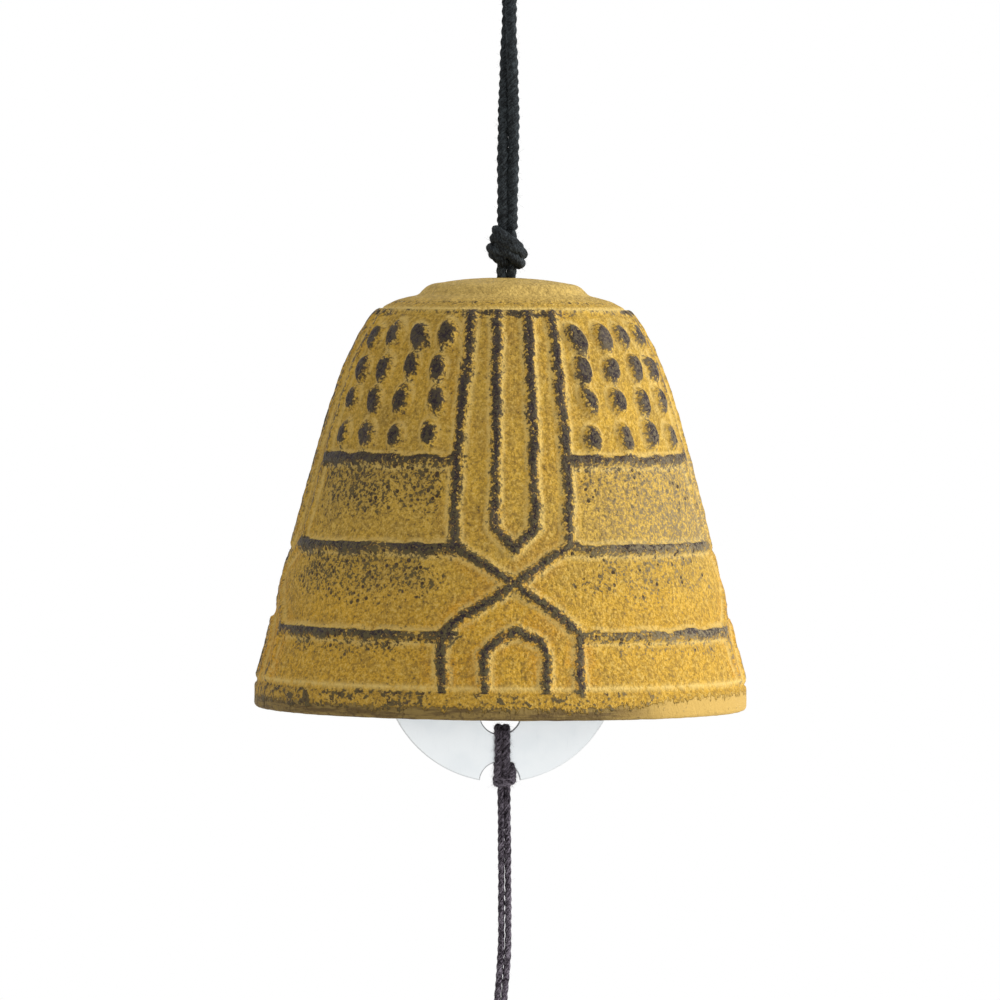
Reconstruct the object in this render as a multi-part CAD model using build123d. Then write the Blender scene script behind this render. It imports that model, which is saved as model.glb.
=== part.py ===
from build123d import *
import math
import os

# A cast wind bell on a doubled cord, with a flat disc clapper and a paper wind strip
# Millimetres, +Z up. The origin is the hook's seat, under the fold of the hanging loop.
# The clapper's disc and the strip face along -Y, and so does one of the bell's four bands.

# Cords: each is one strand folded double
black_radius = 0.725
plum_radius = 0.475
strand_gap = 0.1
bend_gap = 0.3
seat_gap = 0.3
hook_radius = 2.5

# Bell casting
rim_radius = 36.0
bell_height = 62.9
hanging_drop = 49.6
wall = 2.6
crown_wall = 5.5
crown_hole_radius = 2.0
rim_band_height = 3.6
rim_edge_radius = 0.6
root_depth = 0.7
overrun = 1.0

# Radius as a share of the rim's, and height as a share of the bell's, from the rim band up to the ledge
side_shares = [
    (0.981, 0.055),
    (0.937, 0.167),
    (0.886, 0.292),
    (0.827, 0.418),
    (0.769, 0.544),
    (0.708, 0.669),
    (0.653, 0.766),
    (0.613, 0.822),
    (0.561, 0.880),
    (0.531, 0.906),
    (0.489, 0.927),
]
# The same pairs for the dome above the ledge, its foot, the crown's edge and its top
dome_share = (0.432, 0.947)
foot_share = (0.364, 0.957)
crown_side_share = (0.330, 0.970)
crown_edge_share = (0.269, 0.986)
crown_top_share = (0.178, 0.995)
# The wall follows the outside up to this many of the side's points, and then closes in a dome
inner_count = 7
inner_dome_shares = [(0.480, 0.832), (0.330, 0.893), (0.150, 0.910)]

# Raised pattern: distances across a band from its centre, and heights above the rim
relief_height = 0.5
ridge_width = 1.35
ring_heights = [11.7, 24.1]
panel_ring_height = 36.6
band_outer_left = [(-5.6, 57.6), (-7.2, 42.6), (-8.1, 32.3), (-8.0, 24.7)]
band_outer_right = [(5.6, 57.6), (7.2, 42.6), (8.1, 32.3), (8.0, 24.7)]
band_cross_down = [(-8.0, 24.7), (-4.5, 22.4), (-1.8, 20.6), (0.9, 19.1), (4.0, 16.8), (7.2, 14.4), (9.6, 12.3)]
band_cross_up = [(8.0, 24.7), (4.9, 22.4), (2.8, 20.4), (0.9, 19.1), (-2.6, 16.8), (-7.2, 14.2), (-9.8, 12.3)]
band_foot_left = [(-9.8, 12.3), (-10.0, 9.0), (-9.8, 3.2)]
band_foot_right = [(9.6, 12.3), (9.7, 9.0), (9.6, 3.2)]
band_inner = [(-2.1, 57.6), (-2.4, 42.5), (-2.4, 27.7), (0.6, 24.4), (3.3, 27.7), (2.8, 42.5), (2.2, 57.6)]
band_house = [(-3.9, 3.2), (-3.9, 9.4), (-2.6, 11.0), (0.8, 12.5), (4.0, 11.0), (4.9, 9.0), (4.8, 3.2)]
band_lines = [
    band_outer_left,
    band_outer_right,
    band_cross_down,
    band_cross_up,
    band_foot_left,
    band_foot_right,
    band_inner,
    band_house,
]
band_count = 4

# Bosses, in four rows and four columns on each panel between two bands
boss_heights = [40.4, 45.4, 50.0, 54.7]
boss_angles = [26.3, 38.8, 51.2, 63.7]
boss_foot_radius = 1.75
boss_top_radius = 1.05
boss_height = 1.0
boss_root = 1.8

# Knots: the outer turns start this many strand radii from the knot's ends and lie this deep in its core
turn_inset_share = 1.25
turn_sink_share = 0.33
middle_turn_tilt = 18
upper_turn_tilt = 14
lower_turn_tilt = 12
crown_knot_width = 5.6
crown_knot_height = 6.4
crown_knot_gap = 0.8
stopper_width = 6.6
stopper_height = 5.6
clapper_collar_width = 4.6
clapper_collar_height = 3.2
strip_collar_width = 3.2
strip_collar_height = 1.9
strip_knot_width = 3.2
strip_knot_height = 2.8

# Clapper
clapper_radius = 17.3
clapper_thickness = 1.2
clapper_rise = 6.4
clapper_hole_radius = 3.0
clapper_hole_offset = 7.3
notch_radius = 2.95
clapper_chamfer = 0.15
hitch_clearance = 0.1
clapper_swing = 17.2

# Wind strip
strip_cord_length = 33.0
strip_width = 45.0
strip_length = 120.0
strip_thickness = 0.35
strip_hole_radius = 1.8
strip_hole_margin = 5.0
strip_rock = 30.0
strip_lift = 0.3
patch_radius = 4.0
patch_thickness = 0.15

# Levels, from the hook's seat down
crown_z = -hanging_drop
rim_z = crown_z - bell_height
ceiling_z = crown_z - crown_wall
crown_knot_z = crown_z + crown_knot_gap + crown_knot_height / 2
leg_end_z = crown_z + crown_knot_gap + crown_knot_height + bend_gap
stopper_top_z = ceiling_z - seat_gap
stopper_z = stopper_top_z - stopper_height / 2
clapper_cord_lift = (black_radius + strand_gap / 2) * math.sin(math.radians(clapper_swing))
clapper_cord_top_z = stopper_top_z - stopper_height - bend_gap - clapper_cord_lift
clapper_z = rim_z + clapper_rise


def outer_radius(height):
    """Radius of the plain outside at a height above the rim, straight between the side's points."""
    points = [(r * rim_radius, h * bell_height) for r, h in side_shares]
    for (r0, h0), (r1, h1) in zip(points, points[1:]):
        if height <= h1:
            return r0 + (r1 - r0) * (height - h0) / (h1 - h0)
    return points[-1][0]


def slope_angle(height):
    """How far the outside leans back from upright at a height, in degrees."""
    rise = rim_band_height
    return math.degrees(math.atan2(outer_radius(height - rise) - outer_radius(height + rise), 2 * rise))


def side_points(shift):
    """The side's points in the XZ plane, moved outwards by a distance."""
    return [(r * rim_radius + shift, rim_z + h * bell_height) for r, h in side_shares]


def at_share(share):
    return (share[0] * rim_radius, rim_z + share[1] * bell_height)


def bell_wall():
    """The plain shell: its half section, turned once about Z."""
    side = side_points(0)
    inner = [(r * rim_radius - wall, rim_z + h * bell_height) for r, h in side_shares[:inner_count]]
    inner += [at_share(share) for share in inner_dome_shares]
    crown = (crown_hole_radius, crown_z)
    ceiling = (crown_hole_radius, ceiling_z)
    rim_outer = (rim_radius, rim_z)
    rim_inner = (rim_radius - wall, rim_z)
    band_top = (rim_radius, rim_z + rim_band_height)
    section = [
        Line(rim_inner, rim_outer),
        Line(rim_outer, band_top),
        Line(band_top, side[0]),
        Spline(*side),
        ThreePointArc(side[-1], at_share(dome_share), at_share(foot_share)),
        ThreePointArc(at_share(foot_share), at_share(crown_side_share), at_share(crown_edge_share)),
        ThreePointArc(at_share(crown_edge_share), at_share(crown_top_share), crown),
        Line(crown, ceiling),
        Spline(ceiling, *reversed(inner)),
        Line(inner[0], rim_inner),
    ]
    face = make_face([Plane.XZ * edge for edge in section])
    shell = revolve(face, Axis.Z)
    edges = shell.edges().group_by(Axis.Z)[0]
    return fillet(edges, rim_edge_radius)


def relief_shell():
    """A skin from inside the wall to the relief's top, which the ridges are cut from."""
    outer = side_points(relief_height)
    inner = side_points(-root_depth)
    section = [
        Spline(*outer),
        Line(outer[-1], inner[-1]),
        Spline(*inner),
        Line(inner[0], outer[0]),
    ]
    return revolve(make_face([Plane.XZ * edge for edge in section]), Axis.Z)


def ridge_line(points):
    """A line of the pattern as wide as a ridge, with round ends, in the XZ plane."""
    line = Sketch()
    for (x0, z0), (x1, z1) in zip(points, points[1:]):
        length = math.hypot(x1 - x0, z1 - z0)
        turn = math.degrees(math.atan2(z1 - z0, x1 - x0))
        middle = Pos((x0 + x1) / 2, rim_z + (z0 + z1) / 2)
        line += middle * SlotCenterToCenter(length, ridge_width, rotation=turn)
    return line


def band_ridges(skin):
    """One band's ridges, on the side that faces -Y."""
    flat = Sketch()
    for points in band_lines:
        flat += ridge_line(points)
    return extrude(Plane.XZ * flat, rim_radius + overrun) & skin


def ring_ridge(skin, height, from_x):
    """One level ridge between two bands, from a distance off the first band's centre."""
    start = math.degrees(math.asin(from_x / outer_radius(height)))
    span = 360 / band_count - 2 * start
    on_axis = (Align.NONE, Align.NONE, Align.CENTER)
    sector = Cylinder(rim_radius + overrun, ridge_width, arc_size=span, align=on_axis)
    return (Pos(0, 0, rim_z + height) * Rot(0, 0, start - 90) * sector) & skin


def boss(height, angle):
    """One boss, standing square to the wall on a root inside it."""
    stem = Cone(boss_foot_radius, boss_top_radius, boss_height, align=(Align.CENTER, Align.CENTER, Align.MIN))
    stem += Cylinder(boss_foot_radius, boss_root, align=(Align.CENTER, Align.CENTER, Align.MAX))
    stem = Rot(0, 90 - slope_angle(height), 0) * stem
    return Rot(0, 0, angle - 90) * Pos(outer_radius(height), 0, rim_z + height) * stem


def turned_copies(pieces):
    """The pieces of one quarter, once for each band round the bell."""
    return [Rot(0, 0, number * 360 / band_count) * piece for number in range(band_count) for piece in pieces]


def bell_casting():
    """The shell with its four bands and the level ridges, then the bosses, a row at a time."""
    skin = relief_shell()
    ridges = [band_ridges(skin)]
    ridges.append(ring_ridge(skin, ring_heights[0], band_foot_right[0][0]))
    ridges.append(ring_ridge(skin, ring_heights[1], band_outer_right[-1][0]))
    ridges.append(ring_ridge(skin, panel_ring_height, band_outer_right[2][0]))
    casting = bell_wall() + turned_copies(ridges)
    for height in boss_heights:
        casting = casting + turned_copies([boss(height, angle) for angle in boss_angles])
    return casting


def tube(points, radius, name):
    """A cord along a route: straight runs joined by arcs as large as the runs allow."""
    arc_share = 0.45
    route = [Vector(*point) for point in points]
    radii = []
    for before, here, after in zip(route, route[1:], route[2:]):
        run = min((here - before).length, (after - here).length)
        half_turn = math.radians((here - before).get_angle(after - here)) / 2
        radii.append(arc_share * run / math.tan(half_turn))
    print(name, "arc radii:", [round(value, 1) for value in radii])
    path = FilletPolyline(*route, radius=radii) if radii else Line(*route)
    start = Plane(origin=path @ 0, z_dir=path % 0)
    solid = sweep(start * Circle(radius), path=path)
    print(name, "volume over section times length:", round(solid.volume / (math.pi * radius**2 * path.length), 4))
    return solid


def pair_reach(radius):
    """How far two strands that lie side by side reach from the axis."""
    return 2 * radius + strand_gap / 2


def strand_pair(radius, top_z, bottom_z, round_top):
    """Two straight strands side by side, with round tops where they bend at a knot."""
    x = radius + strand_gap / 2
    straight_top_z = top_z - radius if round_top else top_z
    length = straight_top_z - bottom_z
    strand = Pos(x, 0, (straight_top_z + bottom_z) / 2) * Cylinder(radius, length)
    if round_top:
        strand += Pos(x, 0, straight_top_z) * Sphere(radius)
    return Part() + [strand, Rot(0, 0, 180) * strand]


def knot(width, height, strand_radius):
    """A knot centred on the origin: a core with flat ends and three turns of cord round it."""
    core_radius = width / 2 - strand_radius
    core = Cylinder(core_radius, height)
    middle_turn = Torus(core_radius, strand_radius)
    outer_turn = Torus(core_radius - turn_sink_share * strand_radius, strand_radius)
    step = height / 2 - turn_inset_share * strand_radius
    body = core + Rot(0, middle_turn_tilt, 0) * middle_turn
    body += Pos(0, 0, step) * Rot(upper_turn_tilt, 0, 0) * outer_turn
    body += Pos(0, 0, -step) * Rot(-lower_turn_tilt, 0, 0) * outer_turn
    top = Pos(0, 0, height / 2 + height) * Box(2 * width, 2 * width, 2 * height)
    return body - top - Rot(180, 0, 0) * top


def loop_bend():
    """The fold of the hanging cord, half a turn round the hook."""
    bend_radius = hook_radius + black_radius
    ring = Rot(0, 90, 0) * Torus(bend_radius, black_radius)
    size = 2 * (bend_radius + black_radius + overrun)
    lower = Pos(0, 0, -size / 2) * Box(size, size, size)
    return Pos(0, 0, -hook_radius) * (ring - lower)


def loop_legs():
    """The two strands from the fold down to the crown knot, a quarter turn twisted about each other."""
    bend_radius = hook_radius + black_radius
    top_z = -hook_radius - bend_gap - black_radius
    end_x = black_radius + strand_gap / 2
    end_z = leg_end_z + black_radius
    route = [(0.0, bend_radius, top_z), (-0.12, 1.3, -12.5), (-0.55, 0.72, -20.5), (-0.82, 0.0, -28.5), (-end_x, 0.0, end_z)]
    leg = tube(route, black_radius, "hanging cord leg")
    leg += Pos(*route[0]) * Sphere(black_radius)
    leg += Pos(*route[-1]) * Sphere(black_radius)
    return Part() + [leg, Rot(0, 0, 180) * leg]


def link(strand_radius, half_depth, low_z, high_z):
    """One closed turn of cord in the YZ plane, round a bar from low_z to high_z."""
    bend = half_depth + strand_radius
    path = Wire([
        Line((0, -bend, high_z), (0, -bend, low_z)),
        ThreePointArc((0, -bend, low_z), (0, 0, low_z - bend), (0, bend, low_z)),
        Line((0, bend, low_z), (0, bend, high_z)),
        ThreePointArc((0, bend, high_z), (0, 0, high_z + bend), (0, -bend, high_z)),
    ])
    start = Plane(origin=path @ 0, z_dir=path % 0)
    return sweep(start * Circle(strand_radius), path=path)


def hitch_bend_inset(half_depth):
    """How far a turn's bend may start inside the bar and still clear the bar's corners."""
    corner_clearance_share = 0.85
    return corner_clearance_share * math.sqrt(half_depth**2 - (clapper_thickness / 2) ** 2)


def hitch_ends(strand_radius):
    """Distances from the disc's centre to the bends of a hitch, near the hole and near the notch."""
    half_depth = clapper_thickness / 2 + hitch_clearance
    inset = hitch_bend_inset(half_depth)
    reach = pair_reach(strand_radius)
    near = clapper_hole_offset + math.sqrt(clapper_hole_radius**2 - reach**2) + inset
    far = clapper_radius - math.sqrt(notch_radius**2 - reach**2) - inset
    return near, far, far + half_depth + 2 * strand_radius


def hitch(strand_radius, upward):
    """Two turns of cord side by side round the web between the disc's hole and notch."""
    half_depth = clapper_thickness / 2 + hitch_clearance
    near, far, tip = hitch_ends(strand_radius)
    turn = link(strand_radius, half_depth, near, far)
    x = strand_radius + strand_gap / 2
    both = Part() + [Pos(x, 0, 0) * turn, Pos(-x, 0, 0) * turn]
    if not upward:
        both = Rot(180, 0, 0) * both
    return Pos(0, 0, clapper_z) * both


def clapper_disc():
    """The flat disc with a hole and a half-round notch above and below."""
    disc = Circle(clapper_radius)
    for side in (1, -1):
        disc -= Pos(0, side * clapper_hole_offset) * Circle(clapper_hole_radius)
        disc -= Pos(0, side * clapper_radius) * Circle(notch_radius)
    plate = extrude(Plane.XZ * disc, clapper_thickness / 2, both=True)
    plate = chamfer(plate.edges().filter_by(GeomType.CIRCLE), clapper_chamfer)
    return Pos(0, 0, clapper_z) * plate


# Levels of the knots on the clapper and of the strip
clapper_collar_low_z = clapper_z + hitch_ends(black_radius)[2] + strand_gap
clapper_collar_top_z = clapper_collar_low_z + clapper_collar_height
strip_collar_top_z = clapper_z - hitch_ends(plum_radius)[2] - strand_gap
strip_collar_low_z = strip_collar_top_z - strip_collar_height
strip_cord_top_z = strip_collar_low_z - bend_gap
strip_knot_top_z = strip_cord_top_z - strip_cord_length - bend_gap
strip_knot_low_z = strip_knot_top_z - strip_knot_height
edge_above_pivot = strip_hole_margin - strip_hole_radius + plum_radius + strip_lift
rock = math.radians(strip_rock)
knot_above_pivot = (edge_above_pivot + strip_knot_width / 2 * math.sin(rock)) / math.cos(rock) + bend_gap
strip_pivot_z = strip_knot_low_z - knot_above_pivot
strip_top_z = strip_pivot_z + edge_above_pivot
strip_hole_z = strip_top_z - strip_hole_margin


def strip_loop():
    """The lower cord's end: its knot, and the loop through the strip's hole."""
    half_depth = strip_thickness / 2 + patch_thickness + bend_gap
    bend = half_depth + plum_radius
    loop = link(plum_radius, half_depth, strip_pivot_z + bend, strip_knot_low_z)
    top_knot = Pos(0, 0, strip_knot_low_z + strip_knot_height / 2)
    return top_knot * knot(strip_knot_width, strip_knot_height, plum_radius) + loop


def paper_strip():
    """The paper strip with its punched hole."""
    sheet = Pos(0, strip_top_z - strip_length / 2) * Rectangle(strip_width, strip_length)
    sheet -= Pos(0, strip_hole_z) * Circle(strip_hole_radius)
    return extrude(Plane.XZ * sheet, strip_thickness / 2, both=True)


def strip_patch(side):
    """A paper ring round the hole, on the front or the back of the strip."""
    ring = Pos(0, strip_hole_z) * (Circle(patch_radius) - Circle(strip_hole_radius))
    plate = extrude(Plane.XZ * ring, side * patch_thickness)
    return Pos(0, -side * strip_thickness / 2, 0) * plate


crown_knot = Pos(0, 0, crown_knot_z) * knot(crown_knot_width, crown_knot_height, black_radius)
stopper = Pos(0, 0, stopper_z) * knot(stopper_width, stopper_height, black_radius)
clapper_collar_z = (clapper_collar_low_z + clapper_collar_top_z) / 2
clapper_collar = knot(clapper_collar_width, clapper_collar_height, black_radius)
strip_collar_z = (strip_collar_low_z + strip_collar_top_z) / 2
strip_collar = knot(strip_collar_width, strip_collar_height, plum_radius)

nodes = {
    "loop_bend": loop_bend(),
    "loop_legs": loop_legs(),
    "crown_knot": crown_knot,
    "neck_cord": strand_pair(black_radius, crown_knot_z - crown_knot_height / 2, stopper_top_z + bend_gap, False),
    "bell_casting": bell_casting(),
    "stopper_knot": stopper,
    "clapper_cord": strand_pair(black_radius, clapper_cord_top_z, clapper_collar_top_z, True),
    "clapper_collar": Pos(0, 0, clapper_collar_z) * clapper_collar,
    "clapper_hitch": hitch(black_radius, True),
    "clapper_disc": clapper_disc(),
    "strip_hitch": hitch(plum_radius, False),
    "strip_collar": Pos(0, 0, strip_collar_z) * strip_collar,
    "strip_cord": strand_pair(plum_radius, strip_cord_top_z, strip_knot_top_z + bend_gap, True),
    "strip_loop": strip_loop(),
    "paper_strip": paper_strip(),
    "strip_patch_front": strip_patch(1),
    "strip_patch_back": strip_patch(-1),
}

os.makedirs("parts", exist_ok=True)
for name, solid in nodes.items():
    export_step(solid, f"parts/{name}.step")
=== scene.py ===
# %% [markdown]
# # A cast furin wind bell
#
# The real bell is one sand casting, painted gold-ochre over a dark ground and then rubbed, so that every
# raised line shows dark. It hangs on a doubled black cotton cord. Inside it a flat aluminium disc hangs as
# the clapper, and below the disc a doubled plum-grey cord carries a paper strip that catches the wind.
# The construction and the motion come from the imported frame. This script adds only what the eye sees.

# %% Load the fixed frame
import math
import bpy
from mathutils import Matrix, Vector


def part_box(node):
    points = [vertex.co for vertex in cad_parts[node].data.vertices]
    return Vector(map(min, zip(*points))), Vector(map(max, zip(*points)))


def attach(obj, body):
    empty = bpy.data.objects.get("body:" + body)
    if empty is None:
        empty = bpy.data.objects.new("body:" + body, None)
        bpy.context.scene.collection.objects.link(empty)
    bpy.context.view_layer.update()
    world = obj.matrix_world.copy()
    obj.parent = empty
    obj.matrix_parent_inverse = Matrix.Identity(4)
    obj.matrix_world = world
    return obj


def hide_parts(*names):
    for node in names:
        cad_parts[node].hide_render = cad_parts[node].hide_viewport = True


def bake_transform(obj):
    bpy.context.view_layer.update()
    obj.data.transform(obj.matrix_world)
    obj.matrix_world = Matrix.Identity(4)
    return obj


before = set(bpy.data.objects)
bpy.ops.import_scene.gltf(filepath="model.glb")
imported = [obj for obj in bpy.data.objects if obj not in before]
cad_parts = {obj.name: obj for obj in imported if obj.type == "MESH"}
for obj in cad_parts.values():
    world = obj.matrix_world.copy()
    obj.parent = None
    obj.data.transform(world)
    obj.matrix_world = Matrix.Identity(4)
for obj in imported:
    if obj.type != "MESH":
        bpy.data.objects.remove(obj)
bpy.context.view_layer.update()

from types import SimpleNamespace

import bpy
import numpy as np
from mathutils import Matrix

MM = 0.001

# %% [markdown]
# ## The camera
#
# The photograph was taken level with the middle of the bell, from a little over a metre, with a long lens.
# The curve of the rim and of the crown give the distance and the height. The camera stands a little to the
# left, because the front band of the casting looks turned to the right, and it is rolled by half a degree,
# because the whole bell leans that much in the picture.

# %% Camera at the photograph's viewpoint
VIEW_WIDTH = 0.1463
CAMERA_DISTANCE = 1.112
CAMERA_LEVEL = -0.0529
CAMERA_AZIMUTH = math.radians(-3.5)
CAMERA_ROLL = math.radians(0.5)
AIM = (-0.0003, 0.0, -0.0821)
SENSOR = 36.0


def look_at(name, place, aim, roll=0.0):
    """The matrix of a camera or lamp at a place whose -Z axis points at the aim, turned by roll about it."""
    back = np.array(place, float) - np.array(aim, float)
    back /= np.linalg.norm(back)
    right = np.cross([0.0, 0.0, 1.0], back)
    right /= np.linalg.norm(right)
    up = np.cross(back, right)
    matrix = np.eye(4)
    matrix[:3, 0] = math.cos(roll) * right + math.sin(roll) * up
    matrix[:3, 1] = math.cos(roll) * up - math.sin(roll) * right
    matrix[:3, 2] = back
    matrix[:3, 3] = place
    print(name, "stands at", np.round(place, 3))
    return Matrix(matrix.tolist())


lens = bpy.data.cameras.new("photo_camera")
lens.sensor_width = SENSOR
lens.lens = SENSOR * CAMERA_DISTANCE / VIEW_WIDTH
lens.clip_start = 0.01
camera = bpy.data.objects.new("photo_camera", lens)
bpy.context.scene.collection.objects.link(camera)
camera.matrix_world = look_at(
    "camera",
    (math.sin(CAMERA_AZIMUTH) * CAMERA_DISTANCE, -math.cos(CAMERA_AZIMUTH) * CAMERA_DISTANCE, CAMERA_LEVEL),
    AIM,
    CAMERA_ROLL,
)
bpy.context.scene.camera = camera
bpy.context.scene.view_settings.view_transform = "Standard"

# %% [markdown]
# ## Node maths
#
# Every finish here is worked out from a few noises and from numbers that a mesh carries. Wired by hand, each
# would be dozens of nodes. So one small class wraps a socket and adds a Math node for every sign in an
# expression, and another adds any other node in one call. A finish then reads as a short list of coats.

# %% Sockets in expressions
class Signal:
    """A socket of a node tree that takes part in sums: an expression on it adds the Math nodes."""

    def __init__(self, tree, socket):
        self.tree = tree
        self.socket = socket

    def math(self, operation, *others):
        """A Math node that works on this signal and the others."""
        return self.tree.node("ShaderNodeMath", {"operation": operation}, [self, *others])

    def __add__(self, other):
        return self.math("ADD", other)

    def __sub__(self, other):
        return self.math("SUBTRACT", other)

    def __rsub__(self, other):
        return self.tree.node("ShaderNodeMath", {"operation": "SUBTRACT"}, [other, self])

    def __mul__(self, other):
        return self.math("MULTIPLY", other)

    def over(self, other):
        """The larger of the two."""
        return self.math("MAXIMUM", other)

    __radd__ = __add__
    __rmul__ = __mul__


# %% Nodes as calls
class Tree:
    """The nodes of one material or world, written as calls."""

    def __init__(self, owner):
        owner.use_nodes = True
        self.nodes = owner.node_tree.nodes
        self.links = owner.node_tree.links

    def node(self, kind, settings=None, inputs=(), output=0):
        """Adds a node, sets its settings, then its sockets from values or signals, and returns one output."""
        made = self.nodes.new(kind)
        for key, value in (settings or {}).items():
            setattr(made, key, value)
        pairs = inputs.items() if isinstance(inputs, dict) else enumerate(inputs)
        for key, value in pairs:
            self.feed(made.inputs[key], value)
        return Signal(self, made.outputs[output])

    def feed(self, socket, value):
        """A signal is linked to the socket, and a value is set on it."""
        if isinstance(value, Signal):
            self.links.new(value.socket, socket)
        elif isinstance(value, tuple) and len(value) == 3 and socket.type == "RGBA":
            socket.default_value = (*value, 1.0)
        else:
            socket.default_value = value

    def shade(self, inputs):
        """Feeds the material's surface shader, socket by socket."""
        for key, value in inputs.items():
            self.feed(self.nodes["Principled BSDF"].inputs[key], value)

    def step(self, signal, low, high):
        """0 below low, 1 above high, and an S-shaped rise between them. With low above high it falls."""
        inputs = {"Value": signal, "From Min": low, "From Max": high}
        return self.node("ShaderNodeMapRange", {"interpolation_type": "SMOOTHSTEP"}, inputs)

    def mix(self, amount, first, second):
        """The first colour where amount is 0, and the second where it is 1."""
        return self.node("ShaderNodeMix", {"data_type": "RGBA"}, {0: amount, 6: first, 7: second}, output=2)

    def coated(self, colour, coats):
        """A colour under coats, each a name, an amount and the coat's own colour. Each lies over the ones
        before it."""
        for amount, coat in coats.values():
            colour = self.mix(amount, colour, coat)
        return colour

    def bump(self, strength, distance, height):
        """A normal bent by a height, which is scaled by a distance in metres."""
        inputs = {"Strength": strength, "Distance": distance, "Height": height}
        return self.node("ShaderNodeBump", None, inputs)

    def noise(self, size, detail, roughness, at=None, seed=0.0):
        """Smooth noise about 0.5 whose lumps are about size metres wide."""
        at = at or self.place()
        settings = {"noise_dimensions": "4D"}
        inputs = {"Vector": at, "W": seed, "Scale": 1.0 / size, "Detail": detail, "Roughness": roughness}
        return self.node("ShaderNodeTexNoise", settings, inputs)

    def cells(self, size):
        """Scattered points about size metres apart: the distance to the nearest, in that size, and a number
        between 0 and 1 of its own."""
        inputs = {"Vector": self.place(), "Scale": 1.0 / size}
        distance = self.node("ShaderNodeTexVoronoi", None, inputs)
        return distance, Signal(self, distance.socket.node.outputs[1])

    def place(self):
        """The point on the piece, in metres, in the part's own frame."""
        return self.node("ShaderNodeTexCoord", output=3)

    def stretched(self, x, y, z, place=None):
        """The point with each coordinate multiplied, so that a pattern runs long or short that way."""
        factors = [place or self.place(), (x, y, z)]
        return self.node("ShaderNodeVectorMath", {"operation": "MULTIPLY"}, factors)

    def field(self, name, output=2):
        """A number that the mesh carries at each of its points, or with output 1 a vector."""
        return self.node("ShaderNodeAttribute", {"attribute_name": name}, output=output)


def new_finish(name):
    """A new material and the tree of its nodes."""
    material = bpy.data.materials.new(name)
    print("finish:", name)
    return material, Tree(material)


# %% [markdown]
# ## The studio
#
# The photograph is a cut-out look: white all round, soft light from everywhere, and one larger soft light
# from the right that makes the gold paler there. A white world gives the fill. It is pure white only where
# the camera, a mirror or glass sees it, so that it doesn't flood the paint, and it lights the bell at the
# plain level at which a colour comes out as it is written.

# %% A world that looks white and lights softly
WORLD_LIGHT = 0.50

world = bpy.data.worlds.new("studio")
bpy.context.scene.world = world
sky = Tree(world)
for old in list(sky.nodes):
    sky.nodes.remove(old)
camera_ray, glossy_ray, through_ray = [
    sky.node("ShaderNodeLightPath", output=f"Is {kind} Ray") for kind in ("Camera", "Glossy", "Transmission")
]
seen = camera_ray.over(glossy_ray).over(through_ray)
fill = sky.node("ShaderNodeBackground", None, {"Color": (1.0, 0.99, 0.975), "Strength": WORLD_LIGHT})
white = sky.node("ShaderNodeBackground", None, {"Color": (1.0, 1.0, 1.0), "Strength": 1.0})
shown = sky.node("ShaderNodeMixShader", None, [seen, fill, white])
sky.feed(sky.nodes.new("ShaderNodeOutputWorld").inputs["Surface"], shown)
print("world: fill of", WORLD_LIGHT, "and white where it is seen")

# %% Two soft lamps
BELL_MIDDLE = (0.0, 0.0, -0.082)


def softbox(name, place, aim, size, power):
    """A square area lamp of a size in metres and a power in watts."""
    data = bpy.data.lights.new(name, "AREA")
    data.shape = "SQUARE"
    data.size = size
    data.energy = power
    lamp = bpy.data.objects.new(name, data)
    bpy.context.scene.collection.objects.link(lamp)
    lamp.matrix_world = look_at(name, place, aim)


softbox("right_softbox", (1.25, -0.22, 0.30), BELL_MIDDLE, 0.6, 14.0)
softbox("front_softbox", (0.40, -1.15, 0.75), BELL_MIDDLE, 0.6, 2.6)

# %% [markdown]
# ## Putting meshes together
#
# Every new piece is worked out as arrays of points. A surface is a grid, and a cord is a grid carried along
# a path. These helpers turn such arrays into Blender meshes, with the numbers that the materials read.

# %% From arrays to a mesh
def box_of(node):
    """The lowest and the highest corner of one of the part's nodes, in metres."""
    return [np.array(corner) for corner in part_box(node)]


def grid_faces(rows, columns):
    """Quads between neighbouring rows and columns of a grid whose last column meets its first."""
    row = np.arange(rows - 1)[:, None] * columns
    here = np.arange(columns)[None, :]
    there = (here + 1) % columns
    return np.stack([row + here, row + there, row + columns + there, row + columns + here], -1).reshape(-1, 4)


def make_piece(name, points, faces, finish, fields=None):
    """A smooth-shaded mesh object in the part's own frame, with a material and named point values, each a
    number or a vector."""
    mesh = bpy.data.meshes.new(name)
    mesh.from_pydata(np.asarray(points).tolist(), [], [face for block in faces for face in block.tolist()])
    mesh.polygons.foreach_set("use_smooth", np.ones(len(mesh.polygons), bool))
    for key, values in (fields or {}).items():
        values = np.asarray(values, np.float32)
        kind, entry = ("FLOAT_VECTOR", "vector") if values.ndim == 2 else ("FLOAT", "value")
        mesh.attributes.new(key, kind, "POINT").data.foreach_set(entry, values.ravel())
    mesh.materials.append(finish)
    mesh.update()
    made = bpy.data.objects.new(name, mesh)
    bpy.context.scene.collection.objects.link(made)
    print(f"{name}: {len(mesh.vertices)} points, {len(mesh.polygons)} faces")
    return made


# %% Lines of points
def distance_along(line):
    """How far each point of a line lies from its start, along the line."""
    return np.concatenate([[0.0], np.cumsum(np.linalg.norm(np.diff(line, axis=0), axis=1))])


def line_length(line):
    """The length of a line of points."""
    return float(np.linalg.norm(np.diff(np.asarray(line), axis=0), axis=1).sum())


def evenly(line, count):
    """The line again, with count points spaced evenly along it."""
    line = np.asarray(line, float)
    along = distance_along(line)
    at = np.linspace(0, along[-1], count)
    return np.stack([np.interp(at, along, line[:, k]) for k in range(line.shape[1])], 1)


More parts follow.
